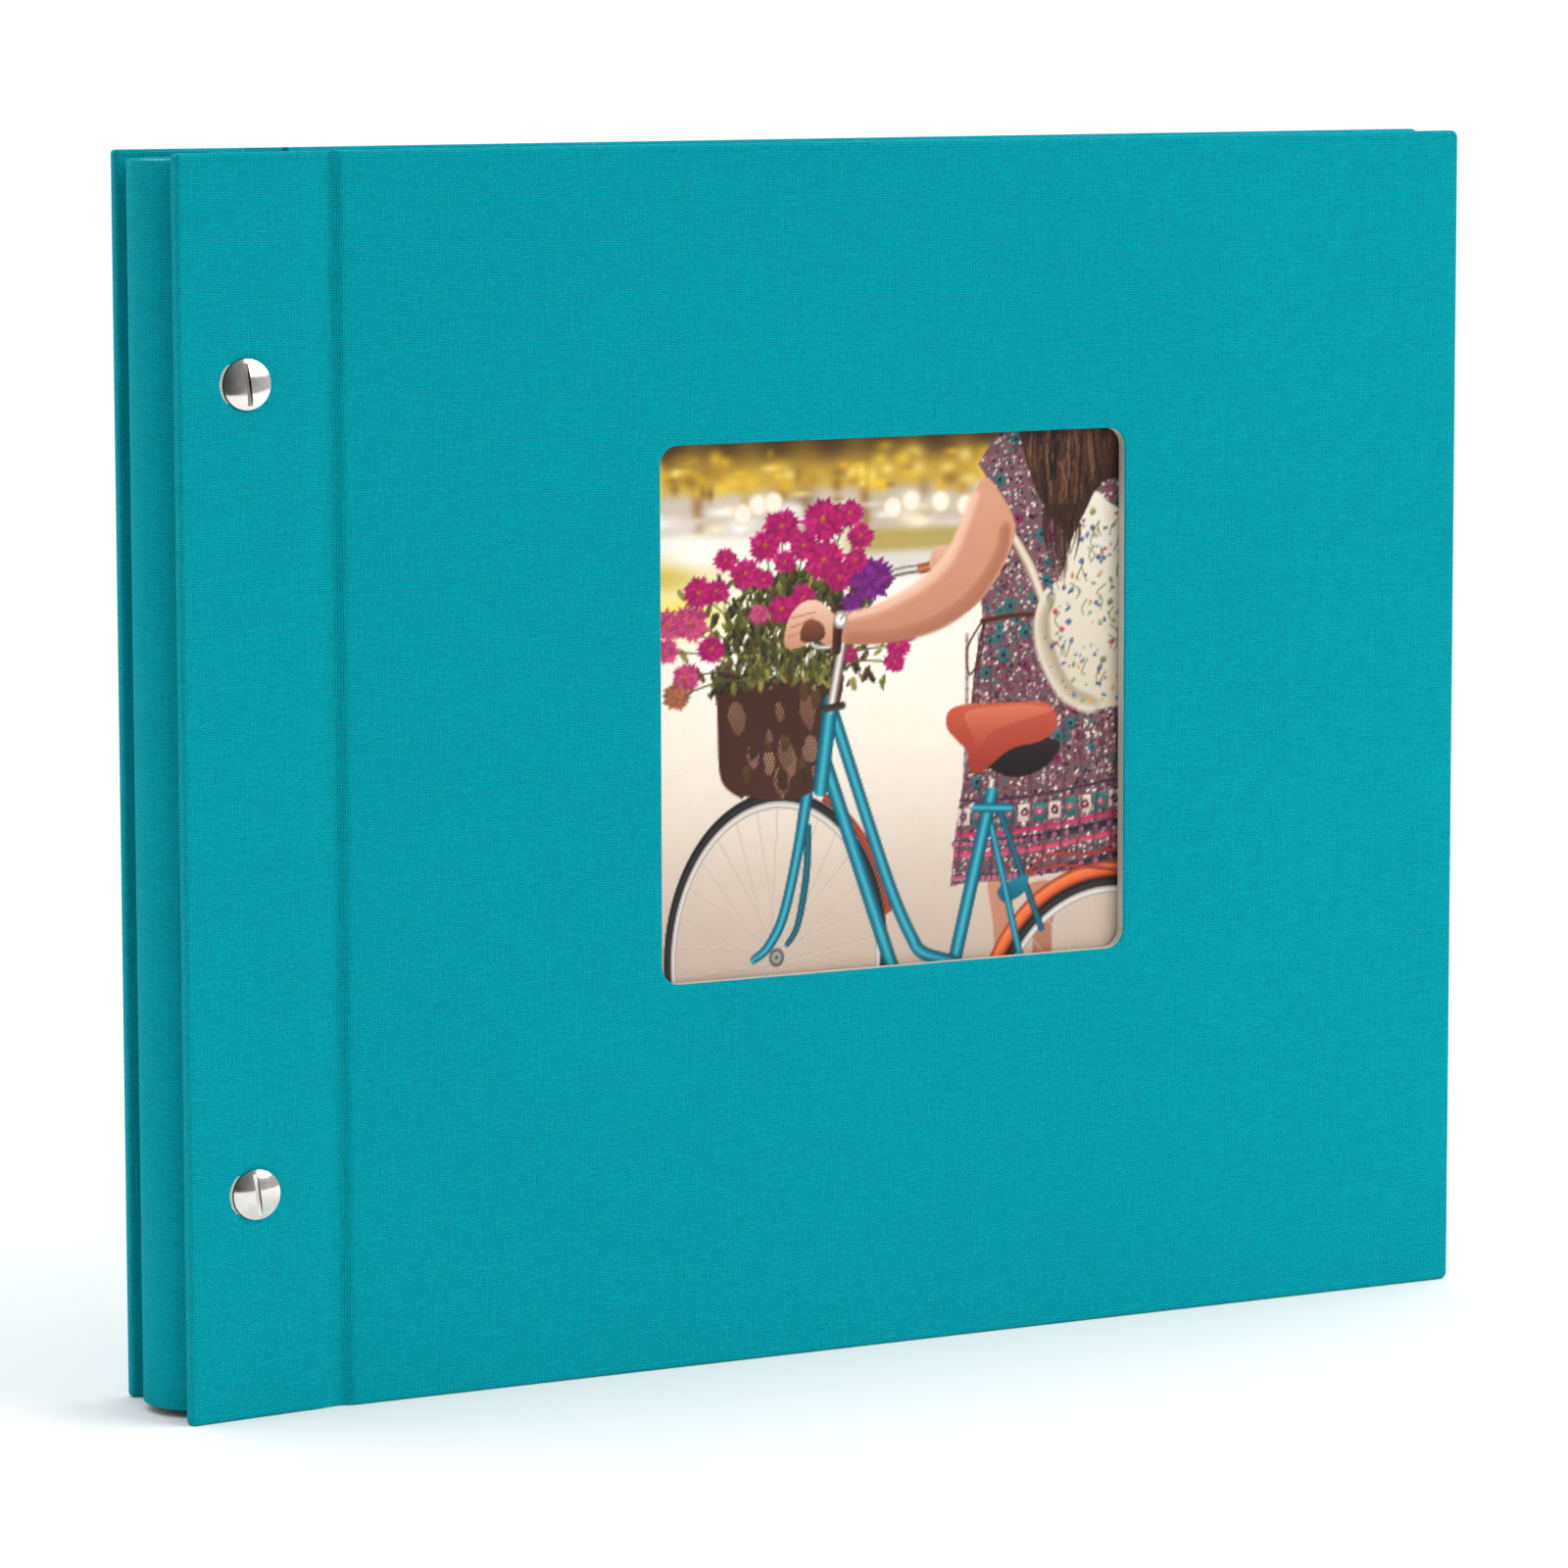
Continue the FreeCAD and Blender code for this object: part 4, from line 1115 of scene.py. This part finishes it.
def area_light(name, place_at, aim, size, power, colour=(1, 1, 1)):
    data = bpy.data.lights.new(name, "AREA")
    data.shape, data.size, data.size_y = "RECTANGLE", size[0], size[1]
    data.energy, data.color = power, colour
    light = bpy.data.objects.new(name, data)
    light.location = place_at
    light.rotation_euler = (Vector(aim) - Vector(place_at)).to_track_quat("-Z", "Y").to_euler()
    bpy.context.collection.objects.link(light)


floor_mesh = bpy.data.meshes.new("floor")
# The floor ends in front of the album like a table's edge, which the camera never sees
floor_mesh.from_pydata([(-9, -0.62, 0), (9, -0.62, 0), (9, 9, 0), (-9, 9, 0)], [], [(0, 1, 2, 3)])
floor = bpy.data.objects.new("floor", floor_mesh)
bpy.context.collection.objects.link(floor)
ground = Nodes("floor_pale")
ground_tone = ground.ramp(ground.noise(ground.object_place(), 3, 2), 0.3, 0.7, 0.985, 1.0)
floor.data.materials.append(ground.set(Base_Color=ground.shade((0.93, 0.93, 0.93, 1.0), ground_tone), Roughness=0.9,
    Specular_IOR_Level=0.1))

world = bpy.data.worlds.new("studio")
world.use_nodes = True
room = world.node_tree
facing = room.nodes.new("ShaderNodeTexCoord").outputs["Generated"]
split = room.nodes.new("ShaderNodeSeparateXYZ")
room.links.new(facing, split.inputs[0])
to_right, to_back, to_top = split.outputs


def room_ramp(value, low, high, to_low, to_high):
    node = room.nodes.new("ShaderNodeMapRange")
    node.interpolation_type = "SMOOTHSTEP"
    for key, v in (("Value", value), ("From Min", low), ("From Max", high), ("To Min", to_low), ("To Max", to_high)):
        if isinstance(v, bpy.types.NodeSocket):
            room.links.new(v, node.inputs[key])
        else:
            node.inputs[key].default_value = v
    return node.outputs[0]


# A bright ceiling, pale walls, and in front a dim room that gets lighter to the right
in_front = room_ramp(to_right, -0.30, 0.8, 0.07, 0.55)
around = room_ramp(to_back, -0.62, 0.15, in_front, 1.1)
level = room_ramp(to_top, 0.45, 0.95, around, 1.5)
seen = room.nodes.new("ShaderNodeLightPath").outputs["Is Camera Ray"]
level = room_ramp(seen, 0, 1, level, 1.2)  # seen directly, the backdrop is plain and pale all round
colour, strength = room.nodes["Background"].inputs[:2]
colour.default_value = (1, 1, 1, 1)
room.links.new(level, strength)
bpy.context.scene.world = world

area_light("key", (0.75, -0.9, 0.82), (0, 0, 0.12), (0.9, 0.95), 9.8)
area_light("side", (1.5, -0.7, 0.8), (0, 0, 0.12), (0.5, 0.8), 2.2, (1.0, 0.93, 0.88))

camera_data = bpy.data.cameras.new("camera")
camera_data.lens, camera_data.sensor_width = 154.5, 36.0
camera_data.clip_start, camera_data.clip_end = 0.05, 50
camera = bpy.data.objects.new("camera", camera_data)
bpy.context.collection.objects.link(camera)
camera.location = (-0.6515, -1.2220, 0.2884)
CAMERA_YAW, CAMERA_DOWN, CAMERA_ROLL = 27.78, 7.054, -0.135
heading, down = math.radians(CAMERA_YAW), math.radians(CAMERA_DOWN)
look = Vector((math.sin(heading) * math.cos(down), math.cos(heading) * math.cos(down), -math.sin(down)))
camera.rotation_euler = (look.to_track_quat("-Z", "Y") @ Quaternion((0, 0, 1), math.radians(CAMERA_ROLL))).to_euler()
bpy.context.scene.camera = camera
bpy.context.scene.view_settings.view_transform = "Standard"

bpy.context.view_layer.update()
